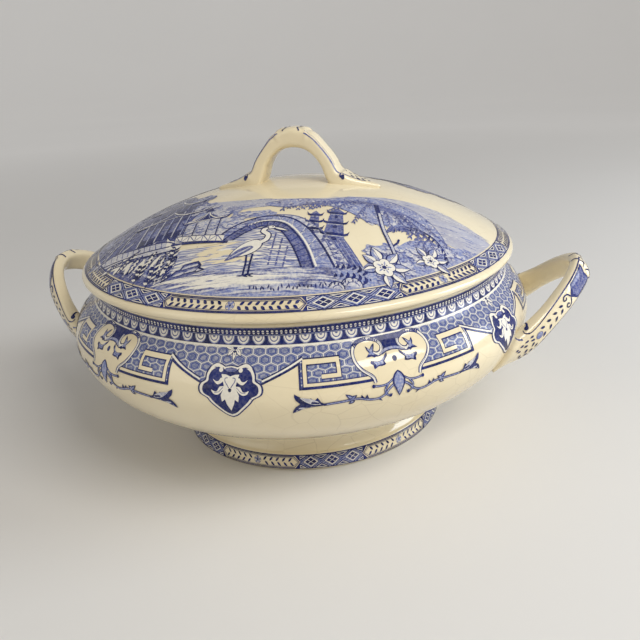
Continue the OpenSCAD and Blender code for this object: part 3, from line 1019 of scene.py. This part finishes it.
# ---------------------------------------------------------------- lid
def make_lid(cream):
    top = np.linspace(0, DOME_EDGE - 1.2, 60)
    under = np.linspace(FLANGE_OUT, 0, 40)
    inner = DOME_R - DOME_WALL
    section = np.vstack([
        np.stack([top, DOME_CENTRE + np.sqrt(DOME_R ** 2 - top ** 2)], 1),
        arc(DOME_EDGE - 0.6, SEAT_Z + LIP_R, LIP_R, 60, -90, 14),
        [(FLANGE_OUT, SEAT_Z)],
        np.stack([under, DOME_CENTRE + np.sqrt(inner ** 2 - under ** 2)], 1)])
    piece = turned("lid", inset(section[::-1], SKIN))
    return finish_piece(piece, cream, "lid", "printed_lid", "lid_dome")


def make_flange(cream):
    """The locating ring, running up into the dome."""
    inner, foot, top = FLANGE_OUT - 4, RIM_Z - 7, DOME_R - DOME_WALL - 1
    section = np.vstack([
        arc(inner + 1, foot + 1, 1, 180, 270, 5),
        arc(FLANGE_OUT - 1, foot + 1, 1, -90, 0, 5),
        [(FLANGE_OUT, SEAT_Z - 1), (FLANGE_OUT, DOME_CENTRE + math.sqrt(top ** 2 - FLANGE_OUT ** 2))],
        [(inner, DOME_CENTRE + math.sqrt(top ** 2 - inner ** 2)), (inner, foot + 1)]])
    piece = turned("flange", section)
    return finish_piece(piece, cream, "lid", "printed_lid", "lid_flange")


def make_lid_border():
    art = Print("lid_border_print", place_on_dome_edge, 2.0)
    centres = [-33.5, 19.75, 64.75] + [64.75 + 52.35 * k for k in range(1, 5)]
    border(art, centres, 10.25, 103.4, 109.4)
    art.build("lid")


# ---------------------------------------------------------------- lid scene
SCENE_R = 102.6      # the landscape ends at this distance from the axis


def held(points):
    """An outline closed and finely split, with no point past the landscape's edge."""
    p = np.asarray(points, float)
    p = dense(np.vstack([p, p[:1]]), 2.0)[:-1]
    r = np.hypot(p[:, 0], p[:, 1])
    return p * np.minimum(1, SCENE_R / r)[:, None]


def scatter(outline, count, rng):
    """Random places inside an outline."""
    outline = np.asarray(outline, float)
    low, high = outline.min(0), outline.max(0)
    found = []
    while len(found) < count:
        tries = np.array([[rng.uniform(a, b) for a, b in zip(low, high)] for _ in range(200)])
        tries = tries[inside(tries, outline) & (np.hypot(tries[:, 0], tries[:, 1]) < SCENE_R - 1.5)]
        found += tries.tolist()
    return found[:count]


def foliage(art, outline, count, tones, size, level, rng, way=None):
    """Engraver's leaf marks. way is the angle that most of them lie at, or None for any."""
    for x, y in scatter(outline, count, rng):
        turn = rng.uniform(0, 360) if way is None else rng.gauss(way, 22)
        length = size * rng.uniform(0.6, 1.3)
        art.leaf(x, y, length, length * rng.uniform(0.35, 0.55), turn, rng.choice(tones), level, n=3)


def streaks(art, outline, count, length, tone, level, rng, width):
    """Level strokes, as on still water."""
    for x, y in scatter(outline, count, rng):
        reach = length * rng.uniform(0.4, 1.2)
        shape = leaf(x - reach / 2, y, reach, width * rng.uniform(0.6, 1.3), rng.gauss(0, 2), 6)
        if np.hypot(shape[:, 0], shape[:, 1]).max() < SCENE_R:
            art.dot(shape, tone, level)


def treetop(art, x, y, rx, ry, rng, level=1, tones=("mid", "soft", "pale")):
    """A rounded cloud of leaves with a lobed edge, paler above and darker underneath."""
    shade, base, lit = tones
    lobes = []
    for k in range(11):
        a = 2 * math.pi * k / 11
        swell = 1 + 0.14 * (-1) ** k + rng.uniform(-0.06, 0.06)
        lobes.append((x + rx * swell * math.cos(a), y + ry * swell * math.sin(a)))
    edge = held(ring(lobes, 4))
    art.fill(edge, base, level)
    for _ in range(9):
        a = rng.uniform(0, 2 * math.pi)
        reach = rng.uniform(0.2, 0.75)
        px, py = x + rx * reach * math.cos(a), y + ry * reach * math.sin(a)
        size = min(rx, ry) * rng.uniform(0.2, 0.34)
        if math.hypot(px, py) < SCENE_R - size * 1.4:
            art.spot(px, py - size * 0.5, size * 1.3, size * 0.8, shade, level + 1)
            art.spot(px, py + size * 0.15, size * 1.2, size * 0.7, lit, level + 2)
    foliage(art, edge, int(rx * ry * 0.7), (shade, base, lit), 1.3, level + 3, rng)


def curved_roof(art, x, y, half, tall, level, lean):
    """A roof with a peak at x, y, pale ridges and dark upturned eaves, half wide on each side."""
    left = smooth([
        (0, 0), (-half * 0.22, -tall * 0.5), (-half * 0.62, -tall * 0.86), (-half, -tall * 0.8),
        (-half * 1.2, -tall * 0.42)], 4)
    under = smooth([
        (-half * 1.2, -tall * 0.42), (-half * 0.92, -tall * 1.06), (-half * 0.3, -tall), (0, -tall)], 4)
    side = np.vstack([left, under[1:]])
    outline = np.vstack([side[::-1], (side * [-1, 1])[1:-1]])
    slide = np.stack([outline[:, 0] * 0, outline[:, 0] * lean], 1)
    art.fill(outline + slide + [x, y], "dark", level)
    for s in (1, -1):
        ridge = left[:13] * [s, 1] + np.stack([left[:13, 0] * 0, left[:13, 0] * s * lean], 1)
        for share, width, tone in ((0.78, 0.55, "white"), (0.36, 0.3, "soft")):
            art.line(ridge * [share, 0.92] + [x, y - tall * 0.1], width, tone, level + 1)
    reach, low = half * 0.95, y - tall * 0.9
    eave = [(x - reach, low - half * lean), (x, y - tall * 0.97), (x + reach, low + half * lean)]
    art.line(smooth(eave, 4), 0.45, "white", level + 1)


def tea_house(art, rng):
    """A tall dark house in a grove, with a paved bank in front of it."""
    grove = [
        (-100, -19), (-90, -6), (-76, -2), (-66, 3), (-56, -2), (-49, -14), (-42, -24), (-38, -33),
        (-43, -44), (-46, -62), (-60, -67), (-78, -67), (-96, -36)]
    art.fill(held(ring(grove, 4)), "shade", 1)
    foliage(art, held(grove), 620, ("dark", "mid", "dark"), 2.8, 2, rng, way=60)
    foliage(art, held(grove), 90, ("soft", "pale"), 2.2, 3, rng, way=60)
    for x, y, rx, ry in ((-88, -16, 8, 7), (-80, -4, 7, 6), (-46, -18, 7, 6), (-90, -32, 7, 7)):
        treetop(art, x, y, rx, ry, rng, 3, ("dark", "mid", "soft"))
    for x, lean in ((-86, 7), (-79, 4), (-93, 9)):
        art.line(smooth([(x, -54), (x + lean * 0.4, -40), (x + lean, -22)]), 1.9, "dark", 6, taper=True)
        lit = smooth([(x + 0.9, -54), (x + lean * 0.4 + 0.9, -40), (x + lean + 0.6, -24)])
        art.line(lit, 0.6, "pale", 7)
    for _ in range(9):
        x, y = rng.uniform(-92, -72), rng.uniform(-62, -44)
        art.leaf(x, y, rng.uniform(5, 9), 1.5, rng.uniform(20, 50), "pale", 6)
    art.fill([(-70, -20), (-46, -26), (-45, -58), (-68, -56)], "dark", 5)
    for k in range(6):
        x = -68.5 + 4.4 * k
        art.line([(x, -30 - 0.2 * k), (x + 0.6, -56 - 0.3 * k)], 0.65, "soft" if k % 2 else "pale", 6)
    for k in range(5):
        low, x = -51 - 0.4 * k, -66.6 + 4.4 * k
        art.fill([(x, low), (x + 2.6, low - 0.2), (x + 2.6, low + 9), (x, low + 9.2)], "mid", 6)
        for step in (2.2, 4.6, 7):
            art.line([(x, low + step), (x + 2.6, low + step - 0.2)], 0.28, "soft", 7)
    curved_roof(art, -58.5, -8, 15, 12, 9, lean=-0.14)
    art.fill([(-67, -18), (-50, -20.4), (-49, -31), (-68, -29)], "dark", 8)
    for k in range(5):
        art.line([(-65 + 3.6 * k, -20.4), (-65.4 + 3.7 * k, -29)], 0.4, "soft", 9)
    curved_roof(art, -57.5, -27, 19, 9, 10, lean=-0.1)
    path = [
        (-92, -58), (-80, -53), (-70, -56), (-52, -60), (-45, -66), (-48, -69), (-58, -67),
        (-76, -62), (-90, -63)]
    art.fill(held(path), "pale", 6)
    for k in range(14):
        x = -90 + 3.0 * k
        y = np.interp(x, (-92, -80, -52, -45), (-58, -53, -60, -66))
        art.line([(x, y - 0.5), (x + 1.4, y - 5.5)], 0.4, "mid", 7)
    for kerb in ([(-92, -58), (-80, -53), (-70, -56.4), (-52, -60.4), (-45, -66)],
                 [(-90, -63.5), (-76, -62.5), (-58, -67.4), (-46, -69.4)]):
        art.line(held(smooth(kerb)), 0.8, "dark", 8)
    prow = [(-52, -57), (-49.5, -60.5), (-44, -63.5), (-41.5, -66), (-44, -69.5), (-50, -66.5)]
    art.fill(prow, "white", 8)
    art.line([(-52, -57), (-49.5, -60.5), (-44, -63.5), (-41.5, -66)], 0.5, "dark", 9)


def pavilion(art, rng):
    """A small open pavilion on posts, with a fretted balustrade over the water."""
    back = [
        (-46, -49), (-40, -46), (-30, -47), (-22, -53), (-15, -57), (-22, -67), (-40, -66),
        (-46, -63)]
    art.fill(ring(back, 3), "pale", 3)
    for x, y, rx, ry in ((-42, -55, 4, 4.5), (-35.5, -57, 3.4, 4), (-30, -56, 3.2, 3.8),
                         (-23, -57, 4.6, 4), (-18, -60, 4, 3)):
        treetop(art, x, y, rx, ry, rng, 3)
    for x in (-44.5, -39.5, -33, -28.0):
        art.line([(x, -50), (x + 0.6, -66 - (x + 43) * 0.25)], 1.0, "dark", 7)
        art.line([(x + 0.3, -51), (x + 0.9, -65 - (x + 43) * 0.25)], 0.25, "pale", 8)
    curved_roof(art, -36, -40, 11, 9.5, 8, lean=-0.04)
    art.fill([(-38.4, -40.6), (-36, -36.4), (-33.6, -40.6)], "dark", 9)
    left, right, tall = np.array([-47, -63.6]), np.array([-23.0, -70.2]), np.array([0, 4.4])
    art.fill([left, right, right + tall, left + tall], "white", 9)
    for share in (0, 1):
        art.line([left + tall * share, right + tall * share], 0.5, "dark", 10)
    for k in range(7):
        a, b = left + (right - left) * k / 7, left + (right - left) * (k + 1) / 7
        art.line([a, a + tall], 0.35, "mid", 10)
        art.line([a, b + tall] if k % 2 else [a + tall, b], 0.4, "mid", 10)
    art.line([left - [1, 1.1], right - [-2.5, 1.1]], 1.3, "dark", 9)


def bridge(art):
    """An arched bridge seen from one end, its near parapet sweeping down to the right."""
    far = smooth([(-3, -52.5), (8, -54.5), (18, -63), (27, -75), (34, -86)], 6)
    top, foot, soffit = (smooth(points, 6) for points in (
        [(-27, -68.5), (-20, -60), (-9, -54.2), (3, -55), (12.5, -62.5), (20.5, -74.5), (27, -87)],
        [(-23, -70), (-16.6, -63), (-8, -58.2), (1.6, -59.3), (8.6, -66.6), (14.6, -77), (19, -88)],
        [(-18.5, -70.5), (-13, -65.5), (-7, -62), (-0.6, -63.4), (5, -70.4), (10, -80), (13.5, -88.5)]))
    deck = np.vstack([far, [(27, -87)], top[:17:-1]])
    art.fill(deck, "pale", 3)
    art.fill(np.vstack([foot, soffit[::-1]]), "mid", 4)
    art.fill(np.vstack([top, foot[::-1]]), "soft", 5)
    art.fill(np.vstack([top[:16], foot[:16][::-1]]), "mid", 5)
    art.line(far, 0.7, "mid", 6)
    art.line(top, 1.0, "dark", 7)
    art.line(foot + [-0.5, -0.3], 0.8, "dark", 7)
    art.line(foot[8:] + [0.5, 0.5], 0.9, "white", 7)
    art.line(soffit, 0.7, "dark", 7)
    art.rungs(top[1:16:2], foot[1:16:2], 0.4, "soft", 6)
    art.rungs(top[17:36:2], foot[17:36:2], 0.4, "mid", 6)
    art.rungs(top[16:33:4], foot[18:35:4], 0.25, "white", 6)
    art.rungs(foot[4:35:2], soffit[4:35:2], 0.35, "dark", 5)
    for k in range(3, len(far) - 1, 2):
        art.line([far[k], far[k] - [6.2 - 0.12 * k, 2.6 + 0.10 * k]], 0.4, "mid", 4)
    for x, high, low in ((0.2, -67.5, -87.5), (3.4, -71, -88), (6.4, -76.5, -88.5)):
        art.line([(x, high), (x - 0.6, low)], 0.8, "mid", 4)
    for y in (-75, -78.5, -82, -85.5):
        art.line([(-1, y), (6.8, y - 0.3)], 0.4, "white", 4)


def pagoda(art, x, top, foot, width, tiers=3, level=3):
    """A slim tower with pointed eaves on each storey."""
    tall = (top - foot) / tiers
    half = width / 2
    high, low = half * 0.6, half * 1.1
    art.fill([(x - high, top - 1), (x - low, foot), (x + low, foot), (x + high, top - 1)], "mid", level)
    art.dot([(x - half * 0.8, top - 1.4), (x, top + tall * 0.35), (x + half * 0.8, top - 1.4)], "mid",
            level)
    for k in range(tiers):
        y, w = top - tall * k - 1.2, half * (0.6 + 0.2 * k)
        for s in (1, -1):
            edge = x + s * w
            eave = [(x, y + 0.2), (edge, y - 0.3), (edge + s * 1.3, y + 0.5), (edge + s * 2.2, y + 2.2),
                    (edge + s * 1.6, y - 1.1), (edge, y - 1.9), (x, y - 1.9)]
            art.fill(eave, "dark", level + 1)
        art.line([(x - w, y - 2.2), (x + w, y - 2.2)], 0.4, "pale", level + 2)
        art.spot(x, y - tall * 0.5, w * 0.3, tall * 0.14, "dark", level + 2)


def willow(art, rng):
    """A willow that arches over the scene in long drooping fronds."""
    crown = ring([
        (-9, -40.5), (4, -36.5), (20, -35.5), (30, -30.5), (44, -28), (58, -31), (68, -41),
        (74, -55), (72, -60), (66, -52), (58, -55), (48, -53.5), (40, -54), (31, -47.5), (23, -43.4),
        (12, -42.6), (3, -45.4), (-4, -44.2)], 4)
    art.fill(crown, "soft", 2)
    foliage(art, crown, 260, ("mid", "pale", "soft"), 2.4, 3, rng, way=-70)
    art.line(crown, 0.4, "mid", 4, closed=True)
    root = np.array([42, -34.5])
    tips = ((0, -46.5), (7, -46.5), (13, -45.6), (22, -46), (33, -54.5), (50, -56), (58, -57),
            (64, -58), (70, -60), (76, -56))
    for tip in tips:
        tip = np.array(tip, float)
        rise = root + (tip - root) * 0.5 + [0, 7 - 0.09 * abs(tip[0] - 44)]
        spine = smooth([root, rise, tip], 8)
        art.line(spine, 1.1, "mid", 5, taper=True)
        for k in range(4, len(spine)):
            for side in (-1, 1):
                turn = -90 + side * rng.uniform(8, 30)
                art.leaf(*spine[k], rng.uniform(2.2, 3.6), 0.9, turn, "mid", 6, n=3)
    bough = smooth([(47, -60), (51, -54), (58, -51.5), (65, -55), (69, -63), (70, -71)], 6)
    for shift, tone in ((0, "mid"), (4.6, "dark"), (-5.0, "mid")):
        path = bough + np.stack([np.linspace(0, shift, len(bough)),
                                 np.linspace(0, shift * 0.7, len(bough))], 1)
        art.line(path, 1.3, tone, 6, taper=True)
        for k in range(5, len(path) - 1, 2):
            art.leaf(*path[k], 4.0, 1.0, -100 + rng.uniform(-14, 14), tone, 6, n=3)
    trunk = smooth([(55, -86), (52.4, -77), (49.6, -68), (46, -57), (44, -46), (42, -35.5)], 5)
    art.line(trunk, 2.2, "dark", 7)
    art.line(trunk[:22] + [0.2, 0], 1.1, "pale", 8)
    art.line([(50, -69), (52.5, -65), (53, -62.5)], 1.0, "dark", 7)


def flower(art, x, y, size, level=13):
    """A full five-petalled bloom, pale with dark edges, shaded petals and a dark eye."""
    turns = [90 + 72 * k for k in range(5)]
    for tone, r, lift in (("dark", size * 0.42 * 1.14, 0), ("white", size * 0.42, 1)):
        for turn in turns:
            art.spot(*polar(x, y, size * 0.54, turn), r, r, tone, level + lift, turn)
    for turn in turns:
        art.leaf(*polar(x, y, size * 0.2, turn), size * 0.5, size * 0.16, turn, "soft", level + 2)
        art.spot(*polar(x, y, size * 0.34, turn + 36), size * 0.07, size * 0.07, "dark", level + 3, n=6)
    art.spot(x, y, size * 0.2, size * 0.2, "dark", level + 3)


def broad_leaf(art, x, y, length, turn, level=9):
    """A pale pointed leaf with a dark edge, a midrib and one shaded half."""
    start = polar(x, y, 0.5, turn)
    body = leaf(*start, length * 0.88, length * 0.46, turn, 6)
    art.leaf(x, y, length, length * 0.62, turn, "dark", level, n=6)
    art.dot(body, "white", level + 1)
    art.dot(body[:7], "soft", level + 2)
    art.line([start, polar(*start, length * 0.78, turn)], 0.28, "mid", level + 3)


def fern(art, x, y, length, turn, level=8):
    """A bending frond: a row of dark leaves along each side."""
    spine = smooth([(x, y), polar(x, y, length * 0.5, turn) + [0, 1.6], polar(x, y, length, turn)], 3)
    for k in range(1, len(spine)):
        for s in (1, -1):
            art.leaf(*(spine[k] + [0, 0.7 * s]), 3.6 - 0.25 * k, 1.3, turn + s * 62, "dark", level)


def garden(art, rng):
    """Bushes, two blooms and ferns in the right foreground."""
    bushes = [
        (37, -89), (41, -80), (39, -75), (46, -69), (52, -68), (58, -61), (68, -57), (77, -61),
        (86, -54), (92, -50), (88, -58), (76, -70), (62, -84), (50, -92)]
    art.fill(held(ring(bushes, 4)), "soft", 2)
    foliage(art, held(bushes), 170, ("mid", "mid", "pale"), 2.1, 3, rng)
    for x, y, rx, ry in (
            (43, -74, 5, 4), (50, -71, 5, 4.4), (86, -56, 5.5, 4), (78, -60, 6.5, 5), (70, -63, 6, 5),
            (60, -70, 6.5, 5.5), (56, -79, 6, 5)):
        treetop(art, x, y, rx, ry, rng, 3)
    for x, y, reach, leaves in (
            (47, -82.5, 3, (
                (14, 8.4), (62, 8.6), (118, 9.2), (152, 7.6), (204, 6.6), (330, 8.2), (286, 7.4))),
            (66.5, -71, 2.2, ((28, 6.4), (78, 7.4), (134, 6.8), (215, 5.6), (338, 7.0)))):
        for turn, length in leaves:
            broad_leaf(art, *polar(x, y, reach, turn), length, turn)
    flower(art, 47, -82.5, 4.9)
    flower(art, 66.5, -71, 3.8)
    for x, y, wide in ((34.5, -93.6, 4.4), (28.5, -95.6, 3.2)):
        base = y - 1.6
        art.fill(held([(x - wide, base), *arc(x, base, wide, 170, 10, 8), (x + wide, base)]), "pale", 6)
        art.line(arc(x, base, wide, 178, 2, 8), 0.5, "dark", 7)
        art.line(arc(x + 0.4, y - 2.0, wide * 0.6, 170, 20, 6), 0.4, "mid", 7)
    tuft = [(27, -90), (34, -86), (42, -85), (44, -92), (36, -93), (28, -92.6)]
    art.fill(held(ring(tuft, 3)), "soft", 5)
    for x, y, length, turn in ((43, -92.6, 15, 174), (42.5, -88.4, 14, 172)):
        fern(art, x, y, length, turn)


def wading_bird(art):
    """A tall pale wading bird in the shallows."""
    body = ring([
        (-17.5, -80.5), (-14, -75), (-9, -72), (-5.6, -73), (-5.2, -76.4), (-8, -79.8),
        (-13, -81.6)], 4)
    neck = smooth([
        (-7, -74.4), (-3.6, -72), (-3.2, -68.6), (-5.6, -66), (-4.6, -63.6), (-2.6, -63.4)], 5)
    art.fill(scaled(body, (-11, -77), 1.1), "dark", 9)
    art.line(neck, 3.1, "dark", 9)
    art.leaf(-2.4, -63.2, 9, 3.0, -22, "dark", 9)
    art.fill(body, "white", 10)
    art.line(neck, 2.0, "white", 10)
    art.spot(-2.4, -63.2, 2.0, 1.6, "dark", 10, -10)
    art.spot(-2.4, -63.2, 1.5, 1.1, "white", 11, -10)
    art.leaf(-1.4, -63.5, 7, 1.2, -22, "white", 11)
    art.spot(-1.9, -63.0, 0.4, 0.4, "dark", 12, n=6)
    art.leaf(-3.2, -62.6, 5.6, 1.0, 196, "dark", 11)
    wing = ring([
        (-19.5, -83.2), (-14.6, -77.4), (-10, -75.6), (-8.2, -77), (-11.6, -80), (-15.4, -82.4)], 4)
    art.fill(wing, "mid", 11)
    for k in range(5):
        art.line([(-9.4 - 1.1 * k, -76.4 - 0.7 * k), (-13 - 1.2 * k, -79.4 - 0.7 * k)], 0.4, "pale", 12)
    for x, lean in ((-10.4, 0.5), (-7.8, -0.3)):
        art.line([(x, -80.6), (x + lean, -86), (x + lean * 0.6, -92.4)], 0.9, "dark", 9)
        for turn in (-18, 24, 176):
            art.leaf(x + lean * 0.6, -92.4, 2.8, 0.7, turn, "dark", 9, n=3)
    for y, reach in ((-93.4, 9), (-94.8, 6), (-96, 3.5)):
        art.leaf(-9 - reach, y, 2 * reach, 0.7, 0, "white", 8, n=6)


def water(art, rng):
    """A pale pool under the bridge, and a broad blue bank along the foot of the scene."""
    pool = held([
        (-50, -70), (-24, -73), (-16, -66), (-4, -61), (4, -69), (12, -84), (14, -90), (-10, -91),
        (-28, -89), (-44, -87), (-56, -80)])
    art.fill(pool, "water", 1)
    streaks(art, pool, 90, 10, "soft", 2, rng, 0.8)
    streaks(art, pool, 44, 8, "mid", 2, rng, 0.6)
    streaks(art, pool, 60, 10, "white", 3, rng, 1.0)
    streaks(art, held([(-30, -72), (-12, -68), (-8, -84), (-34, -84)]), 40, 9, "body", 4, rng, 1.4)
    bank = held([
        (-66, -78), (-50, -84), (-34, -89), (-12, -90.5), (14, -88.5), (40, -85), (52, -88),
        (40, -96), (16, -103), (-14, -103), (-40, -96), (-60, -84)])
    art.fill(bank, "soft", 2)
    streaks(art, bank, 130, 12, "mid", 3, rng, 0.7)
    streaks(art, bank, 110, 16, "pale", 4, rng, 0.9)
    streaks(art, held([(-52, -88), (6, -93), (8, -97), (-30, -96)]), 38, 18, "white", 5, rng, 1.0)
    art.line(smooth([(-58, -82), (-46, -86), (-34, -88.4), (-12, -90), (14, -88)]), 0.55, "mid", 5)
    for k in range(34):
        x = -6 + 1.45 * k
        y = -math.sqrt(SCENE_R ** 2 - x ** 2) + rng.uniform(2.0, 3.4)
        art.leaf(x, y, rng.uniform(1.2, 2.8), 0.7, 90 + rng.uniform(-35, 35), "dark", 6, n=3)


def rock(art, x, y, size):
    """A craggy rock at the water's edge, dark above with pale facets."""
    at = art.through(lambda p: p * size + [x, y])
    share = [
        (-1.5, -0.42), (-0.9, -0.1), (-0.7, 0.12), (-0.45, 0.1), (-0.3, 0.46), (0.1, 0.5),
        (0.5, 0.52), (0.72, 0.2), (0.66, 0.02), (1.0, -0.2), (0.4, -0.4), (-0.6, -0.46)]
    at.fill(share, "mid", 6)
    at.line(share[:10], 0.9, "dark", 8)
    for a, b, wide in (
            (-0.1, 0.22, 0.3), (0.36, 0.26, 0.22), (-0.5, -0.18, 0.34), (0.2, -0.1, 0.36),
            (0.7, -0.14, 0.2)):
        at.spot(a, b, wide, 0.11, "pale", 7, 12, 7)
        at.line([(a - wide, b - 0.12), (a + wide, b - 0.08)], 0.5, "dark", 8)


def shrubs(art, rng):
    """Flowering shrubs in the left foreground: pale plumes over dotted dark leaves."""
    patch = [
        (-84, -58), (-70, -63), (-56, -67), (-47, -68), (-42, -76), (-44, -88), (-54, -90),
        (-66, -80), (-80, -66)]
    art.fill(held(ring(patch, 4)), "mid", 3)
    foliage(art, held(patch), 300, ("dark", "dark", "soft"), 2.3, 4, rng, way=80)
    foliage(art, held(patch), 90, ("white", "pale"), 1.5, 5, rng)
    for x, y, length, turn in (
            (-79, -67, 8, 40), (-72, -71, 10, 62), (-65, -75, 11, 74), (-57, -77, 12, 80),
            (-70, -64, 6, 40), (-50, -84, 12, 84)):
        for shift, scale in ((0, 1), (2.4, 0.7), (-2.0, 0.75)):
            art.leaf(x + shift, y, length * scale, 2.2, turn - shift * 7, "white", 7)
        for k in range(5):
            px, py = polar(x, y, length * 0.2 * k, turn)
            for s in (1, -1):
                art.leaf(px + 1.5 * s, py, 1.9, 1.0, turn + 40 * s, "dark", 8, n=3)
    for x, y, tall in ((-46, -87, 19), (-60, -84, 10), (-53, -89, 11)):
        stem = smooth([(x, y), (x + 1.5, y + tall * 0.5), (x + 1.2, y + tall)], 5)
        art.line(stem, 0.5, "dark", 9)
        for k in range(2, len(stem)):
            for s in (1, -1):
                tone = "dark" if (k + s) % 3 else "white"
                art.leaf(*stem[k], 2.8, 1.3, 90 + s * 55, tone, 10, n=3)


def make_lid_scene(name, turn):
    """A garden by a river: a tea-house and pavilion, an arched bridge, towers and a willow."""
    rng = random.Random(7)
    c, s = math.cos(math.radians(turn)), math.sin(math.radians(turn))
    art = Print(name, lambda x, y, lift: place_on_dome(c * x - s * y, s * x + c * y, lift), 2.6)
    sky = ring([
        (-50, -24), (-34, -30), (-12, -35), (14, -35), (34, -28), (54, -22), (74, -23), (92, -32),
        (99, -42), (95, -52), (86, -55), (74, -54), (58, -47), (38, -43), (18, -42), (-4, -43),
        (-24, -45), (-40, -48)], 5)
    art.fill(held(sky), "haze", 0)
    streaks(art, held(sky), 90, 15, "pale", 1, rng, 0.9)
    streaks(art, held(sky), 60, 12, "soft", 1, rng, 0.7)
    for x, y, rx, ry in ((-28, -44, 8, 5), (-18, -51, 6, 4), (-9, -50.5, 6, 3.2), (-40, -36, 8, 7),
                         (-33, -46, 8, 5)):
        treetop(art, x, y, rx, ry, rng, 1)
    water(art, rng)
    tea_house(art, rng)
    pavilion(art, rng)
    pagoda(art, 15.5, -50.5, -67, 5.6)
    pagoda(art, 25, -47.5, -73, 9)
    art.fill([(20.4, -69), (29.6, -69), (40, -87), (29, -88)], "mid", 3)
    for k in range(5):
        art.line([(21.6 + 2 * k, -70.5), (30 + 2.1 * k, -86)], 0.3, "soft", 4)
    bridge(art)
    willow(art, rng)
    garden(art, rng)
    shrubs(art, rng)
    rock(art, -35, -85, 7.5)
    wading_bird(art)
    art.build("lid")


# ---------------------------------------------------------------- stage
def make_stage():
    """A pale round floor that curves up into a low wall, the same from every side."""
    profile = np.vstack([[(0, -0.2), (900, -0.2), (1800, -0.2)], arc(2600, 799.8, 800, -90, 0, 12)])
    floor = turned("floor", np.vstack([profile, [(3400, 1500)]])[::-1])
    floor.data.materials.append(table_paper())


def area_light(name, where, towards, size, power, colour):
    data = bpy.data.lights.new(name, "AREA")
    data.shape = "RECTANGLE"
    data.size, data.size_y = size
    data.energy = power
    data.color = colour
    lamp = bpy.data.objects.new(name, data)
    bpy.context.scene.collection.objects.link(lamp)
    lamp.location = where
    lamp.rotation_euler = (Vector(towards) - Vector(where)).to_track_quat("-Z", "Y").to_euler()


def make_lights():
    world = bpy.data.worlds.new("studio")
    world.use_nodes = True
    background = world.node_tree.nodes["Background"]
    background.inputs[0].default_value = (0.84, 0.82, 0.80, 1)
    background.inputs[1].default_value = 0.34
    bpy.context.scene.world = world
    bpy.context.scene.view_settings.view_transform = "Standard"
    middle = (0, 0, 0.07)
    area_light("key", (0.75, -0.50, 0.95), middle, (0.7, 0.5), 9.2, (1, 0.965, 0.91))
    area_light("window", (1.1, 0.15, 0.5), middle, (0.5, 0.6), 7.4, (0.84, 0.91, 1))
    area_light("fill", (-0.9, -0.9, 0.8), middle, (1.0, 1.0), 2.4, (1, 0.94, 0.86))


def make_camera():
    """The eye looks down by pitch, turned from the front by the heading, with a slight roll."""
    heading, pitch, roll = math.radians(10), 0.382, 0.042
    level = Vector((-math.sin(heading), math.cos(heading), 0))
    right = Vector((math.cos(heading), math.sin(heading), 0))
    forward = level * math.cos(pitch) - Vector((0, 0, math.sin(pitch)))
    up = level * math.sin(pitch) + Vector((0, 0, math.cos(pitch)))
    tilted_right = right * math.cos(roll) - up * math.sin(roll)
    tilted_up = right * math.sin(roll) + up * math.cos(roll)
    data = bpy.data.cameras.new("camera")
    data.sensor_width = 36
    data.lens = 36.56
    data.shift_x = -0.0857
    camera = bpy.data.objects.new("camera", data)
    bpy.context.scene.collection.objects.link(camera)
    turn = Matrix((tilted_right, tilted_up, -forward)).transposed().to_4x4()
    eye = (0.0960, -0.3311, 0.1870)
    camera.matrix_world = Matrix.Translation(eye) @ turn
    bpy.context.scene.camera = camera


make_camera()
make_lights()
make_stage()
cream = cream_glaze("cream_glaze")
make_bowl(cream)
make_bowl_print()
make_foot(cream)
make_foot_print()
make_lid(cream)
make_lid_border()
make_lid_scene("lid_scene_front_print", 0)
make_lid_scene("lid_scene_back_print", 194)
make_flange(cream)
make_handles(cream)
